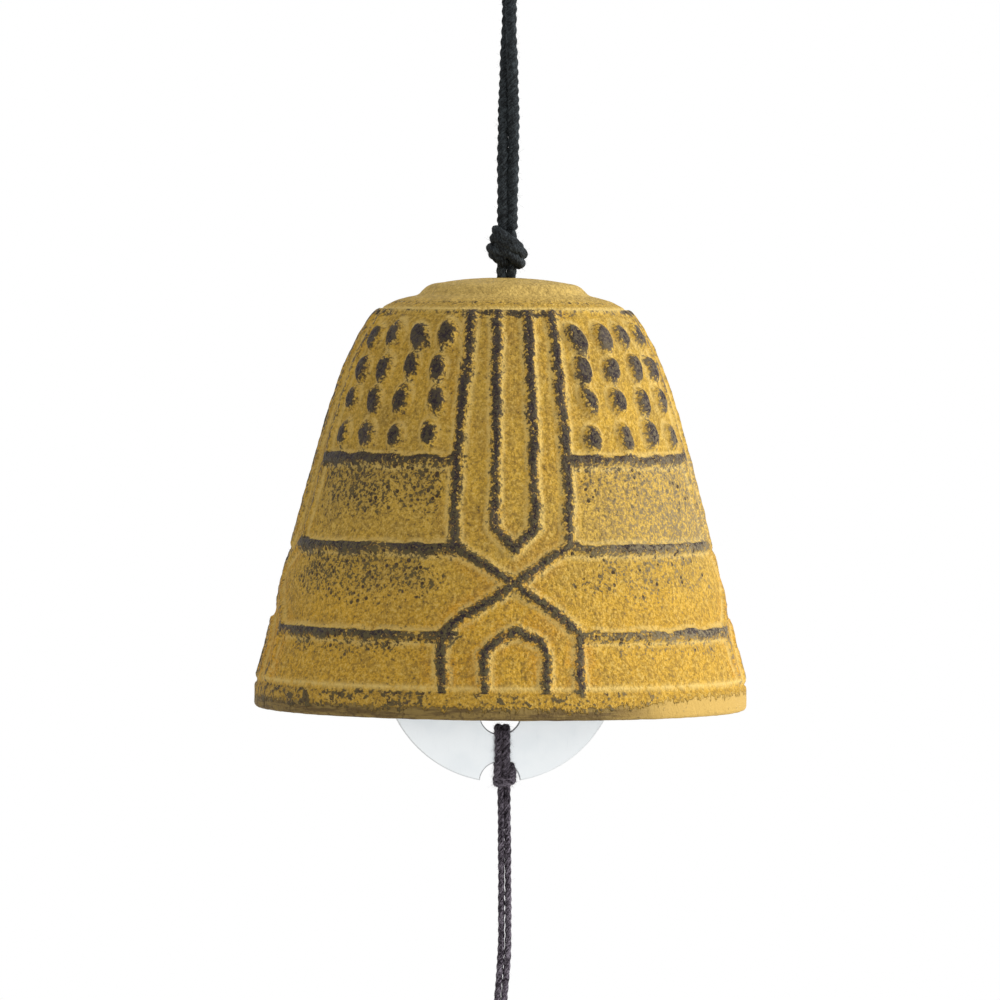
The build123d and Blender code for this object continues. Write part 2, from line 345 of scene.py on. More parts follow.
def smooth_through(points, per_span):
    """A smooth curve through the points: in each span a cubic whose end slopes are half the chord between
    the two neighbours."""
    p = np.asarray(points, float)
    p = np.vstack([2 * p[0] - p[1], p, 2 * p[-1] - p[-2]])
    t = np.linspace(0, 1, per_span, endpoint=False)[None, :, None]
    a, b, c, d = p[:-3, None], p[1:-2, None], p[2:-1, None], p[3:, None]
    curve = 0.5 * (2 * b + (c - a) * t + (2 * a - 5 * b + 4 * c - d) * t**2 + (3 * b - a - 3 * c + d) * t**3)
    return np.vstack([curve.reshape(-1, p.shape[1]), p[-2]])


# %% Soft steps and smooth noise
WAVES = 48


def rise(value, low, high):
    """0 below low, 1 above high, and an S-shaped rise between them."""
    t = np.clip((value - low) / (high - low), 0, 1)
    return t * t * (3 - 2 * t)


def ripple(points, size, seed):
    """Smooth noise, about -1 to 1: a sum of plane waves of about one length, in directions drawn at
    random."""
    draw = np.random.default_rng(seed)
    ways = draw.normal(size=(WAVES, points.shape[1]))
    lengths = np.linalg.norm(ways, axis=1, keepdims=True)
    ways *= 2 * np.pi / size * draw.uniform(0.7, 1.4, (WAVES, 1)) / lengths
    return np.cos(points @ ways.T + draw.uniform(0, 2 * np.pi, WAVES)).sum(1) / math.sqrt(WAVES)


# %% [markdown]
# ## Twisted cord
#
# The bell hangs on a doubled cotton cord of three plies, laid up to the right. A round tube would look like
# wire, so the section here is three circles that touch, and it turns as it goes along the path: that gives
# the bumps along the outline. Loose fibres stand off it as short bent hairs.

# %% The outline of three plies
PLIES = 3
PLY_POINTS = 8
PLY_REACH = 2 / math.sqrt(3)
GROOVE = 0.84


def ply_radius(angle):
    """The outline of three touching circles, as a share of its largest radius, at an angle from a ply's
    middle, but never deeper than the groove between two plies."""
    small = 1 / (1 + PLY_REACH)
    centre = PLY_REACH * small
    fold = (angle + np.pi / PLIES) % (2 * np.pi / PLIES) - np.pi / PLIES
    inside = np.maximum(small**2 - (centre * np.sin(fold)) ** 2, 0)
    return np.maximum(centre * np.cos(fold) + np.sqrt(inside), GROOVE)


ply_angle = np.linspace(0, 2 * np.pi, PLIES * PLY_POINTS, endpoint=False)
ply_outline = ply_radius(ply_angle)
print("ply outline: radius from", np.round(ply_outline.min(), 2), "to", np.round(ply_outline.max(), 2))

# %% The cord's skin
END_CAP = 0.93
LAY_WANDER = 0.5
LAY_WAVE = 2.9 * MM
SWELLINGS = ((0.035, 1.3 * MM), (0.03, 3.7 * MM))


def frames_along(line):
    """At each point of a line its tangent and two directions across it that turn as little as they can:
    they start from one fixed direction, and the turn that this adds between neighbours is taken out again."""
    tangent = np.gradient(line, axis=0)
    tangent /= np.linalg.norm(tangent, axis=1, keepdims=True)
    fixed = np.array([0.83, 0.21, 0.07])
    side = fixed - (tangent @ fixed)[:, None] * tangent
    side /= np.linalg.norm(side, axis=1, keepdims=True)
    other = np.cross(tangent, side)
    slip = np.arctan2((side[:-1] * other[1:]).sum(1), (side[:-1] * side[1:]).sum(1))
    turn = np.concatenate([[0.0], np.cumsum(slip)])[:, None]
    across = np.cos(turn) * side + np.sin(turn) * other
    return tangent, across, np.cross(tangent, across)


def cord_skin(line, radius, pitch, start_turn):
    """A twisted cord along a line of points, in metres: rings of the ply outline, one full turn in each
    pitch, closed with a rounded cap at both ends. No cord is laid evenly, so a sine of the distance along
    adds up to half a radian to the turn, and two more swell and thin it by a few hundredths. Gives the
    points, the quads, the end triangles and each point's place in the yarn's own frame, which turns with
    the plies."""
    along = distance_along(line)
    tangent, across, other = frames_along(line)
    lay = start_turn + 2 * np.pi * along / pitch + LAY_WANDER * np.sin(along / LAY_WAVE + start_turn)
    turned = ply_angle[None, :] + lay[:, None]
    end = np.minimum(along, along[-1] - along) / radius
    cap = np.sqrt(np.clip(1 - np.clip(1 - end, 0, END_CAP) ** 2, 0, 1))
    (quick, quick_wave), (slow, slow_wave) = SWELLINGS
    plump = 1 + quick * np.sin(along / quick_wave + 2 * start_turn) + slow * np.sin(along / slow_wave)
    reach = radius * ply_outline[None, :] * (cap * plump)[:, None]
    rings = line[:, None] + reach[..., None] * (
        np.cos(turned)[..., None] * across[:, None] + np.sin(turned)[..., None] * other[:, None]
    )
    rows, columns = turned.shape
    yarn = np.stack([
        np.broadcast_to(radius * ply_outline * np.cos(ply_angle), turned.shape),
        np.broadcast_to(radius * ply_outline * np.sin(ply_angle), turned.shape),
        np.broadcast_to(along[:, None], turned.shape),
    ], -1)
    points = np.vstack([rings.reshape(-1, 3), line[:1], line[-1:]])
    yarn = np.vstack([yarn.reshape(-1, 3), [[0, 0, 0]], [[0, 0, along[-1]]]])
    here = np.arange(columns)
    there = (here + 1) % columns
    first, last = rows * columns, rows * columns + 1
    last_ring = (rows - 1) * columns
    caps = np.vstack([
        np.stack([there, here, np.full(columns, first)], 1),
        np.stack([here, there, np.full(columns, last)], 1) + [last_ring, last_ring, 0],
    ])
    return points, grid_faces(rows, columns), caps, yarn


# %% Loose fibres
FIBRE_POINTS = 4


def cord_fibres(line, radius, per_metre, reach, thickness, seed):
    """Loose hairs on a cord: each starts on the surface, leans along it and curls away. A hair is a
    three-sided spike along a quadratic curve. Its root, lean, length and curl are drawn at random."""
    draw = np.random.default_rng(seed)
    tangent, across, other = frames_along(line)
    count = int(per_metre * line_length(line))
    row = draw.integers(2, len(line) - 2, count)
    angle = draw.uniform(0, 2 * np.pi, count)[:, None]
    out = np.cos(angle) * across[row] + np.sin(angle) * other[row]
    aside = np.cross(tangent[row], out)
    lean = draw.normal(0, 0.8, (count, 1)) * tangent[row] + draw.normal(0, 0.6, (count, 1)) * aside
    curl = np.clip(draw.normal(0, 0.4, (count, 3)), -0.9, 0.9)
    long = (reach * np.minimum(draw.gamma(3.0, 0.33, count), 2.0))[:, None]
    t = np.linspace(0, 1, FIBRE_POINTS)[None, :, None]
    root = line[row] + 0.8 * radius * out
    curve = root[:, None] + long[:, None] * (t * (0.7 * out + lean)[:, None] + t**2 * (0.5 * curl)[:, None])
    flat = np.linspace(0, 2 * np.pi, 3, endpoint=False)[None, None, :, None]
    width = thickness * (1 - 0.75 * np.linspace(0, 1, FIBRE_POINTS))[None, :, None, None]
    corner = width * (np.cos(flat) * tangent[row][:, None, None] + np.sin(flat) * aside[:, None, None])
    points = (curve[:, :, None] + corner).reshape(-1, 3)
    one = grid_faces(FIBRE_POINTS, 3)
    faces = (np.arange(count)[:, None, None] * 3 * FIBRE_POINTS + one[None]).reshape(-1, 4)
    tips = np.arange(count)[:, None] * 3 * FIBRE_POINTS
    lids = np.vstack([tips + [2, 1, 0], tips + 3 * (FIBRE_POINTS - 1) + [0, 1, 2]])
    yarn = np.repeat(root, 3 * FIBRE_POINTS, 0)
    return points, faces, lids, yarn


# %% Cords as one object, and their routes
def cord_piece(name, lines, radius, pitch, finish, fuzz, seed, start_turns=None):
    """One object of one or more twisted cords with their hairs. fuzz is the hairs in each metre, how far
    they reach and how thick they are. The mesh carries the place in the yarn, and 1 on every hair."""
    points, faces, yarn, hair, used = [], [], [], [], 0
    for number, line in enumerate(lines):
        turn = start_turns[number] if start_turns else 0.9 * number
        blocks = [cord_skin(line, radius, pitch, turn), cord_fibres(line, radius, *fuzz, seed + number)]
        for is_hair, block in enumerate(blocks):
            faces += [block[1] + used, block[2] + used]
            points.append(block[0])
            yarn.append(block[3])
            used += len(block[0])
            hair.append(np.full(len(block[0]), float(is_hair)))
    fields = {"yarn": np.vstack(yarn), "hair": np.concatenate(hair)}
    return make_piece(name, np.vstack(points), faces, finish, fields)


def spline_line(name, route, spacing):
    """The points of a smooth NURBS curve that has the route's points as its control points, spaced evenly."""
    curve = bpy.data.curves.new(name, "CURVE")
    curve.dimensions = "3D"
    spline = curve.splines.new("NURBS")
    spline.points.add(len(route) - 1)
    spline.points.foreach_set("co", np.hstack([np.array(route, float), np.ones((len(route), 1))]).ravel())
    spline.order_u = 3
    spline.use_endpoint_u = True
    spline.resolution_u = 24
    holder = bpy.data.objects.new(name, curve)
    mesh = bpy.data.meshes.new_from_object(holder)
    line = np.zeros(len(mesh.vertices) * 3)
    mesh.vertices.foreach_get("co", line)
    line = line.reshape(-1, 3)
    bpy.data.meshes.remove(mesh)
    bpy.data.objects.remove(holder)
    bpy.data.curves.remove(curve)
    length = line_length(line)
    print(f"{name}: {len(route)} route points, {1000 * length:.1f} mm long")
    return evenly(line, max(8, int(length / spacing)))


# %% [markdown]
# ## Cotton
#
# Dyed cotton doesn't shine, but its loose surface catches light at the edge, which sheen gives. The fine
# fibres run along each ply, so the pattern is read in the yarn's own frame, stretched along the cord.

# %% Materials for the two cords
def cord_finish(name, dark, light, fibre, sheen):
    """Dyed cotton: streaks along the plies, soft lumps and a fine grain, between a dark and a light tone.
    The loose hairs have a tone of their own."""
    material, tree = new_finish(name)
    streaks = tree.noise(0.14 * MM, 3.0, 0.6, tree.stretched(1.0, 1.0, 0.16, tree.field("yarn", output=1)))
    grain = tree.noise(0.24 * MM, 2.0, 0.6, seed=4.0)
    lumps = tree.noise(1.1 * MM, 2.0, 0.5)
    tone = tree.step(streaks * 0.5 + lumps * 0.15 + grain * 0.35, 0.44, 0.61)
    coats = {"loose hairs": (tree.field("hair") * 0.8, fibre)}
    tree.shade({
        "Base Color": tree.coated(tree.mix(tone, dark, light), coats),
        "Roughness": 0.85,
        "Normal": tree.bump(0.9, 0.08 * MM, streaks * 0.8 + lumps * 0.2),
        "Specular IOR Level": 0.25,
        "Sheen Weight": sheen,
        "Sheen Roughness": 0.4,
        "Sheen Tint": light,
    })
    return material


black_cotton = cord_finish(
    "black_cotton",
    dark=(0.003, 0.004, 0.005),
    light=(0.056, 0.068, 0.076),
    fibre=(0.050, 0.060, 0.066),
    sheen=0.12,
)
plum_cotton = cord_finish(
    "plum_cotton",
    dark=(0.012, 0.007, 0.013),
    light=(0.270, 0.235, 0.285),
    fibre=(0.30, 0.25, 0.29),
    sheen=0.25,
)

# %% [markdown]
# ## The hanging cord
#
# One strand is folded in two. The fold goes over the hook, and the two legs come down close together,
# turning a quarter of the way round each other, so that from the front they are behind one another at the
# top and side by side lower down. The route is the part's own list of points, once up and once down, moved
# to the right by less than half a millimetre, where the photograph shows it. The skin is drawn thicker than
# the cord, because its widest points are only the tops of the plies.

# %% The hanging cord, from the knot up over the hook and down again
BLACK_RADIUS = 0.725 * MM
BLACK_PITCH = 4.3 * MM
BLACK_FUZZ = (26000, 0.42 * MM, 0.014 * MM)
PLY_TOPS = 1.25
LEAN = np.array([0.45, 0.0, 0.0]) * MM
leg_route = np.array([
    (0.0, 3.225, -3.525),
    (-0.12, 1.3, -12.5),
    (-0.55, 0.62, -20.5),
    (-0.77, 0.1, -28.5),
    (-0.70, 0.1, -36.0),
    (-0.62, 0.0, -42.9),
]) * MM
fold_route = np.array([(0.0, 3.3, 0.725), (0.0, -3.3, 0.725)]) * MM
half_turn = np.array([-1.0, -1.0, 1.0])
hanging_route = np.vstack([leg_route[::-1] + LEAN, fold_route, leg_route * half_turn + LEAN])
hanging_line = spline_line("hanging_route", hanging_route, 0.2 * MM)
hanging_cord = cord_piece(
    "hanging_cord", [hanging_line], PLY_TOPS * BLACK_RADIUS, BLACK_PITCH, black_cotton, BLACK_FUZZ, 11
)
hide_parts("loop_bend", "loop_legs")
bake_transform(hanging_cord)

# %% [markdown]
# ## Cords through the bell and round the clapper
#
# Under the crown the two strands come out of the stopper knot and go down to the disc. There each one goes
# round the thin web between the notch and the hole. It is one strand all the way: down, round the web and up
# into the collar, across, round the web again and back up. The collar hides the crossing.

# %% A strand's way round the disc's web
DISC_HALF = 0.6 * MM
SEAT = 0.1 * MM


def hitch_route(side, radius, collar_level, far_level, sign):
    """A strand from the collar, along the front of the disc, through the hole and back along its far side.
    sign is -1 where the hole lies below the collar, and 1 where it lies above."""
    depth = DISC_HALF + SEAT + radius
    return [
        (side, -0.55 * depth, collar_level + sign * 0.2 * MM),
        (side, -1.02 * depth, collar_level + sign * 2.2 * MM),
        (side, -1.02 * depth, far_level - sign * 1.6 * MM),
        (side, -0.95 * depth, far_level),
        (side, 0.95 * depth, far_level),
        (side, 1.02 * depth, far_level - sign * 1.6 * MM),
        (side, 1.02 * depth, collar_level + sign * 2.2 * MM),
        (side, 0.55 * depth, collar_level + sign * 0.2 * MM),
    ]


# %% The clapper's cord
collar_low, collar_high = box_of("clapper_collar")
collar_middle = float(collar_low[2] + collar_high[2]) / 2
cord_high = float(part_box("clapper_cord")[1][2])
far_level = float(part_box("clapper_hitch")[0][2]) + BLACK_RADIUS
strand_x = BLACK_RADIUS + 0.05 * MM
one_side = [
    (strand_x, 0, cord_high - 0.3 * MM),
    (1.03 * strand_x, 0.1 * MM, -70.0 * MM),
    (0.97 * strand_x, -0.1 * MM, -79.0 * MM),
    (strand_x, 0, float(collar_high[2]) + 0.6 * MM),
]
round_web = hitch_route(strand_x, BLACK_RADIUS, collar_middle, far_level, -1)
clapper_route = np.array(one_side + round_web)
clapper_route = np.vstack([clapper_route, (clapper_route * [-1, 1, 1])[::-1]])
clapper_line = spline_line("clapper_route", clapper_route, 0.2 * MM)
clapper_strand = cord_piece(
    "clapper_strand", [clapper_line], BLACK_RADIUS, BLACK_PITCH, black_cotton, BLACK_FUZZ, 12
)
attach(clapper_strand, "clapper")
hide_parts("clapper_cord", "clapper_hitch")

# %% [markdown]
# ## The lower cord
#
# A thinner plum-grey strand, doubled too, goes round the web at the disc's lower edge and hangs down to the
# paper strip. Its hitch is pulled flat and is thicker than the cord, with many loose hairs. Below it the two
# strands hang side by side, and light shows between them wherever two grooves meet.

# %% The plum hitch
PLUM_RADIUS = 0.475 * MM
PLUM_PITCH = 4.3 * MM
HITCH_RADIUS = 1.34 * PLUM_RADIUS
HITCH_PITCH = 3.4 * MM
HITCH_FUZZ = (95000, 0.42 * MM, 0.011 * MM)
HITCH_SHIFT = np.array([0.30, 0.0, -0.12]) * MM
strip_collar_low, strip_collar_high = box_of("strip_collar")
strip_collar_middle = float(strip_collar_low[2] + strip_collar_high[2]) / 2
web_level = float(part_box("strip_hitch")[1][2]) - PLUM_RADIUS
plum_round_web = np.array(hitch_route(0.84 * HITCH_RADIUS, HITCH_RADIUS, strip_collar_middle, web_level, 1))
plum_hitch_lines = [
    spline_line(f"hitch_route_{number}", plum_round_web * [side, 1, 1] + HITCH_SHIFT, 0.12 * MM)
    for number, side in enumerate((1, -1))
]
strip_hitch_cord = cord_piece(
    "strip_hitch_cord", plum_hitch_lines, HITCH_RADIUS, HITCH_PITCH, plum_cotton, HITCH_FUZZ, 21
)
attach(strip_hitch_cord, "clapper")
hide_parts("strip_hitch")

# %% The two strands that hang down to the paper
PLUM_FUZZ = (22000, 0.30 * MM, 0.010 * MM)
plum_x = PLUM_RADIUS + 0.05 * MM
cord_low, cord_top = (float(corner[2]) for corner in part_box("strip_cord"))
plum_route = np.array([
    (0.84 * plum_x, 0.0, cord_top + 1.2 * MM),
    (0.90 * plum_x, 0.05 * MM, cord_top - 8.0 * MM),
    (0.96 * plum_x, -0.06 * MM, cord_top - 17.0 * MM),
    (0.96 * plum_x, 0.05 * MM, cord_top - 26.0 * MM),
    (0.94 * plum_x, 0.0, cord_low - 1.4 * MM),
])
plum_shift = np.array([(0.62, 0, 0), (0.80, 0, 0), (0.92, 0, 0), (0.98, 0, 0), (0.1, 0, 0)]) * MM
lower_lines = [
    spline_line(f"lower_route_{number}", plum_route * [side, side, 1] + plum_shift, 0.15 * MM)
    for number, side in enumerate((1, -1))
]
lower_strands = []
for name, line, turn in zip(("lower_strand_right", "lower_strand_left"), lower_lines, (0.0, np.pi)):
    seed = 22 + len(lower_strands)
    strand = cord_piece(name, [line], 1.1 * PLUM_RADIUS, PLUM_PITCH, plum_cotton, PLUM_FUZZ, seed, [turn])
    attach(strand, "lower_cord")
    lower_strands.append(strand)
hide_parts("strip_cord")

# %% [markdown]
# ## Knots
#
# Both strands are tied as one. What the eye sees of such a knot is the pair of strands going round the two
# that run through it, in turns that slope from the upper left to the lower right. Each turn starts from
# inside the knot and ends there, so a turn is an oval helix whose ends draw in.

# %% One turn of a knot, and a whole knot
def knot_turn(middle, level, half_width, half_depth, start, turns, drop, slope):
    """The path of one strand in a knot. The angle runs from start through a number of turns, seen from above.
    x and y follow an oval, drawn in towards both ends. The height falls by drop in each turn, and by slope
    times x, so that the turns lie tilted."""
    s = np.linspace(0, 1, int(90 * turns))
    angle = start + 2 * np.pi * turns * s
    draw_in = 0.30 + 0.70 * rise(np.minimum(s, 1 - s) * turns, 0, 0.16)
    x = half_width * draw_in * np.cos(angle)
    y = half_depth * draw_in * np.sin(angle)
    z = middle + level - drop * turns * (s - 0.5) - slope * x
    return np.stack([x, y, z], 1)


def knot_piece(name, nodes, body, radius, turns, finish, fuzz, seed, core=(), shift=0.0, extra=()):
    """A knot that stands for some nodes, the first of which is the knot itself: the turns, given as keyword
    sets for knot_turn in millimetres, extra strands as points about the knot's middle, and the two strands
    through it, from one level to another. All are shifted along X."""
    low, high = box_of(nodes[0])
    middle = float(low[2] + high[2]) / 2
    lines = []
    for turn in turns:
        sizes = {key: turn[key] * MM for key in ("level", "half_width", "half_depth", "drop")}
        lines.append(knot_turn(middle, **{**turn, **sizes}))
    for side in (1, -1) if core else ():
        x = side * 0.76 * radius
        through = smooth_through([(x, 0, core[0]), (1.15 * x, 0, middle), (x, 0, core[1])], 20)
        lines.append(evenly(through, int((core[0] - core[1]) / (0.2 * MM))))
    for points in extra:
        lines.append(evenly(smooth_through(np.array(points) * MM + [0, 0, middle], 20), 40))
    lines = [line + [shift, 0, 0] for line in lines]
    made = cord_piece(name, lines, radius, 5.8 * radius, finish, fuzz, seed)
    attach(made, body)
    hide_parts(*nodes)
    return made


# %% The black knots
LEFT = math.radians(170)
HIDDEN_FUZZ = (5000, 0.5 * MM, 0.016 * MM)
LEGS_END = -42.2 * MM
crown_turns = [
    dict(level=1.25, half_width=1.75, half_depth=1.75, start=LEFT - 0.3, turns=1.25, drop=1.7, slope=0.52),
    dict(level=0.20, half_width=2.25, half_depth=1.75, start=LEFT - 0.1, turns=1.30, drop=1.9, slope=0.40),
    dict(level=-0.95, half_width=1.95, half_depth=1.45, start=LEFT + 0.1, turns=1.25, drop=1.9, slope=0.62),
]
neck_low = float(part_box("neck_cord")[0][2])
crown_knot = knot_piece(
    "crown_knot_turns", ["crown_knot", "neck_cord"], "knots", 1.12 * BLACK_RADIUS, crown_turns,
    black_cotton, BLACK_FUZZ, 31, (LEGS_END, neck_low), 0.36 * MM,
)
stopper_turns = [
    dict(level=0.5, half_width=2.6, half_depth=2.2, start=2.0, turns=2.2, drop=1.9, slope=-0.2),
    dict(level=-0.7, half_width=2.55, half_depth=2.2, start=2.2, turns=2.1, drop=1.9, slope=-0.2),
]
stopper_low, stopper_high = (float(corner[2]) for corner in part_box("stopper_knot"))
stopper = knot_piece(
    "stopper_turns", ["stopper_knot"], "stopper", BLACK_RADIUS, stopper_turns,
    black_cotton, HIDDEN_FUZZ, 32, (stopper_high, stopper_low),
)
collar_turns = [
    dict(level=0.55, half_width=1.85, half_depth=1.7, start=0.6, turns=1.25, drop=0.5, slope=0.15),
    dict(level=-0.65, half_width=1.85, half_depth=1.7, start=0.9, turns=1.25, drop=0.5, slope=0.15),
]
clapper_collar = knot_piece(
    "clapper_collar_turns", ["clapper_collar"], "clapper", 0.85 * BLACK_RADIUS, collar_turns,
    black_cotton, HIDDEN_FUZZ, 33,
)

# %% The plum collar in the disc's notch
strip_collar_turns = [
    dict(level=0.30, half_width=1.15, half_depth=1.25, start=0.5, turns=1.2, drop=0.3, slope=-0.26),
    dict(level=-0.36, half_width=1.10, half_depth=1.2, start=0.9, turns=1.2, drop=0.3, slope=-0.22),
]
collar_core = (strip_collar_middle + 1.2 * MM, float(strip_collar_low[2]) - 0.3 * MM)
collar_end = [(0.45, -0.95, -0.4), (0.95, -0.85, 0.5), (1.05, -0.80, 1.5), (0.55, -0.95, 2.5)]
knot_piece(
    "strip_collar_turns", ["strip_collar"], "clapper", 0.95 * HITCH_RADIUS, strip_collar_turns,
    plum_cotton, HITCH_FUZZ, 34, collar_core, 0.72 * MM, [collar_end],
)

# %% The lower cord's last knot, and its loop through the hole in the paper
LOOP_FUZZ = (12000, 0.45 * MM, 0.012 * MM)
STRIP_KNOT_HALF = 1.4 * MM
LOOP_DEPTH = 0.625 * MM + PLUM_RADIUS
loop_low, loop_high = box_of("strip_loop")
knot_level = float(loop_high[2]) - STRIP_KNOT_HALF
loop_level = float(loop_low[2]) + PLUM_RADIUS
strip_knot_lines = [
    knot_turn(knot_level, level, 1.2 * MM, 1.1 * MM, start, 1.6, 1.1 * MM, 0.35)
    for level, start in ((0.35 * MM, LEFT), (-0.45 * MM, LEFT + 0.2))
]
through_hole = [
    (0.45 * MM, -0.1 * MM, knot_level),
    (0.2 * MM, -0.9 * LOOP_DEPTH, knot_level - 1.8 * MM),
    (0.0, -1.03 * LOOP_DEPTH, loop_level + 2.4 * MM),
    (0.0, -1.0 * LOOP_DEPTH, loop_level),
    (0.0, 1.0 * LOOP_DEPTH, loop_level),
    (0.0, 1.03 * LOOP_DEPTH, loop_level + 2.4 * MM),
    (-0.2 * MM, 0.9 * LOOP_DEPTH, knot_level - 1.8 * MM),
    (-0.45 * MM, 0.1 * MM, knot_level),
]
loop_lines = strip_knot_lines + [spline_line("loop_route", through_hole, 0.12 * MM)]
strip_loop_cord = cord_piece(
    "strip_loop_cord", loop_lines, PLUM_RADIUS, PLUM_PITCH, plum_cotton, LOOP_FUZZ, 41
)
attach(strip_loop_cord, "strip_loop")
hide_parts("strip_loop")

# %% [markdown]
# ## The casting
#
# The bell is a turned shape with a raised pattern. On a real one the founder presses the pattern into the
# sand. Here the outside is a grid of angle and height, and each point is moved out by the height of the
# relief there. The relief is a function of the distance to the nearest line of the pattern, folded so that
# one drawing serves all four bands. A little smooth noise in the distances keeps the four from being copies.
#
# The profile is given in shares of the part's own radius and height, so the surface fits the part. The grid
# is fine where the pattern lies. The flat of the crown, the hole and the inside have a quarter of its
# columns.

# %% The bell's profile
bell_low, bell_high = (corner / MM for corner in box_of("bell_casting"))
RIM_LEVEL = float(bell_low[2])
BELL_HEIGHT = float(bell_high[2] - bell_low[2])
RIM_RADIUS = float(bell_high[0])
WALL = 2.6
CROWN_HOLE = 2.0
CROWN_WALL = 5.5
LIP = 0.6
BAND_TOP = 3.6
SIDE_ROW = 0.4
CROWN_ROW = 0.45
CROWN_TOP_ROW = 1.3
INNER_ROW = 1.7
side_shares = [
    (0.990, 0.060), (0.984, 0.078), (0.940, 0.167), (0.886, 0.292), (0.827, 0.418), (0.769, 0.544),
    (0.708, 0.669), (0.653, 0.766), (0.613, 0.822), (0.561, 0.880), (0.531, 0.906), (0.492, 0.927),
]
shoulder_shares = [
    (0.492, 0.927), (0.484, 0.9325), (0.470, 0.9365), (0.432, 0.947), (0.392, 0.9535), (0.364, 0.957),
]
crown_shares = [
    (0.364, 0.957), (0.345, 0.961), (0.330, 0.970), (0.312, 0.979), (0.290, 0.9845), (0.269, 0.987),
    (0.178, 0.995), (0.110, 0.9985), (CROWN_HOLE / RIM_RADIUS, 1.0),
]
inner_shares = [
    (0.981, 0.055), (0.937, 0.167), (0.886, 0.292), (0.827, 0.418), (0.769, 0.544), (0.708, 0.669),
    (0.653, 0.766),
]
dome_shares = [(0.480, 0.832), (0.330, 0.893), (0.150, 0.910)]


def at_full_size(shares):
    """Points given as shares of the rim's radius and the bell's height, in millimetres."""
    return np.array(shares) * [RIM_RADIUS, BELL_HEIGHT]


def quarter_round(radius, low, high, count):
    """A lip round a point that lies LIP above the rim's underside: a circle's arc of count points."""
    turn = np.linspace(low, high, count)
    return np.stack([radius + LIP * np.cos(turn), LIP + LIP * np.sin(turn)], 1)


def rows_of(line, spacing):
    """A line of points spaced evenly, about a spacing apart."""
    return evenly(line, max(3, int(round(line_length(line) / spacing)) + 1))


middle_of_rim = [(RIM_RADIUS - WALL / 2, 0.0)]
outer_lip = quarter_round(RIM_RADIUS - LIP, -np.pi / 2, 0, 5)
band = [(RIM_RADIUS, 1.4), (RIM_RADIUS, 2.2), (RIM_RADIUS, BAND_TOP - 0.5)]
band_edge = [(RIM_RADIUS - 0.08, BAND_TOP - 0.18), (RIM_RADIUS - 0.3, BAND_TOP)]
side = rows_of(smooth_through(at_full_size(side_shares), 12), SIDE_ROW)
shoulder = rows_of(smooth_through(at_full_size(shoulder_shares), 12), SIDE_ROW)
crown = rows_of(smooth_through(at_full_size(crown_shares), 12), CROWN_ROW)
flat_crown = crown[:, 0] < 0.24 * RIM_RADIUS
fine_profile = np.vstack([
    middle_of_rim, outer_lip, band, band_edge, side, shoulder[1:], crown[1:][~flat_crown[1:]],
])
ceiling = BELL_HEIGHT - CROWN_WALL
hole = np.linspace([CROWN_HOLE, BELL_HEIGHT - 0.25], [CROWN_HOLE, ceiling], 6)[:-1]
inner_line = np.vstack([
    [(CROWN_HOLE, ceiling)], at_full_size(dome_shares)[::-1], (at_full_size(inner_shares) - [WALL, 0])[::-1],
])
inner = rows_of(smooth_through(inner_line, 12), INNER_ROW)
inner_lip = quarter_round(RIM_RADIUS - WALL + LIP, np.pi, 1.5 * np.pi, 4)
crown_top = rows_of(crown[flat_crown], CROWN_TOP_ROW)
crown_top[-1] = (CROWN_HOLE + 0.25, BELL_HEIGHT)
coarse_profile = np.vstack([crown_top, hole, inner, inner_lip])
print("profile rows:", len(fine_profile), "fine,", len(coarse_profile), "coarse")

# %% [markdown]
# The pattern is the one of a temple bell: four upright bands, each with a long U between its edges, edges
# that cross below it and part again, and a small arch at the foot. Level lines join the bands, and four rows
# of bosses fill the panels above the highest. Points are millimetres across a band and above the rim, and a
# level line is its height above the rim and how far from a band's middle it begins.

# %% The pattern's lines
left_edge = [(-5.7, 57.6), (-7.4, 42.6), (-8.4, 32.3), (-8.5, 24.5)]
right_edge = [(5.7, 57.6), (7.1, 42.6), (7.9, 32.3), (7.8, 24.5)]
cross_down = [(-8.5, 24.5), (-5.2, 22.5), (-2.6, 20.8), (0.0, 19.2), (3.2, 16.9), (6.6, 14.4), (9.0, 12.3)]
cross_up = [(7.8, 24.5), (4.4, 22.4), (2.1, 20.6), (0.0, 19.2), (-3.4, 16.9), (-7.8, 14.2), (-10.2, 12.3)]
left_foot = [(-10.2, 12.3), (-10.5, 9.0), (-10.3, 3.2)]
right_foot = [(9.0, 12.3), (9.2, 9.0), (9.1, 3.2)]
long_u = [(-2.1, 57.6), (-2.5, 42.5), (-2.8, 27.2), (0.0, 24.0), (3.0, 27.2), (2.7, 42.5), (2.3, 57.6)]
arch = [(-4.4, 3.2), (-4.5, 9.4), (-3.0, 11.0), (0.4, 12.6), (3.6, 11.0), (4.5, 9.0), (4.4, 3.2)]
band_lines = [left_edge, right_edge, cross_down, cross_up, left_foot, right_foot, long_u, arch]
LEVEL_LINES = [(11.7, 9.6), (24.1, 8.0), (36.6, 8.1)]
FRAME_HEIGHT = 57.65
LEDGE_HEIGHT = 58.2
RIDGE_HEIGHT = 0.5
RIDGE_TOP = 0.45
RIDGE_FOOT = 1.05
FAR = 99.0
UNWORN = -9.0
print("pattern:", len(band_lines), "lines in each band and", len(LEVEL_LINES), "level lines")


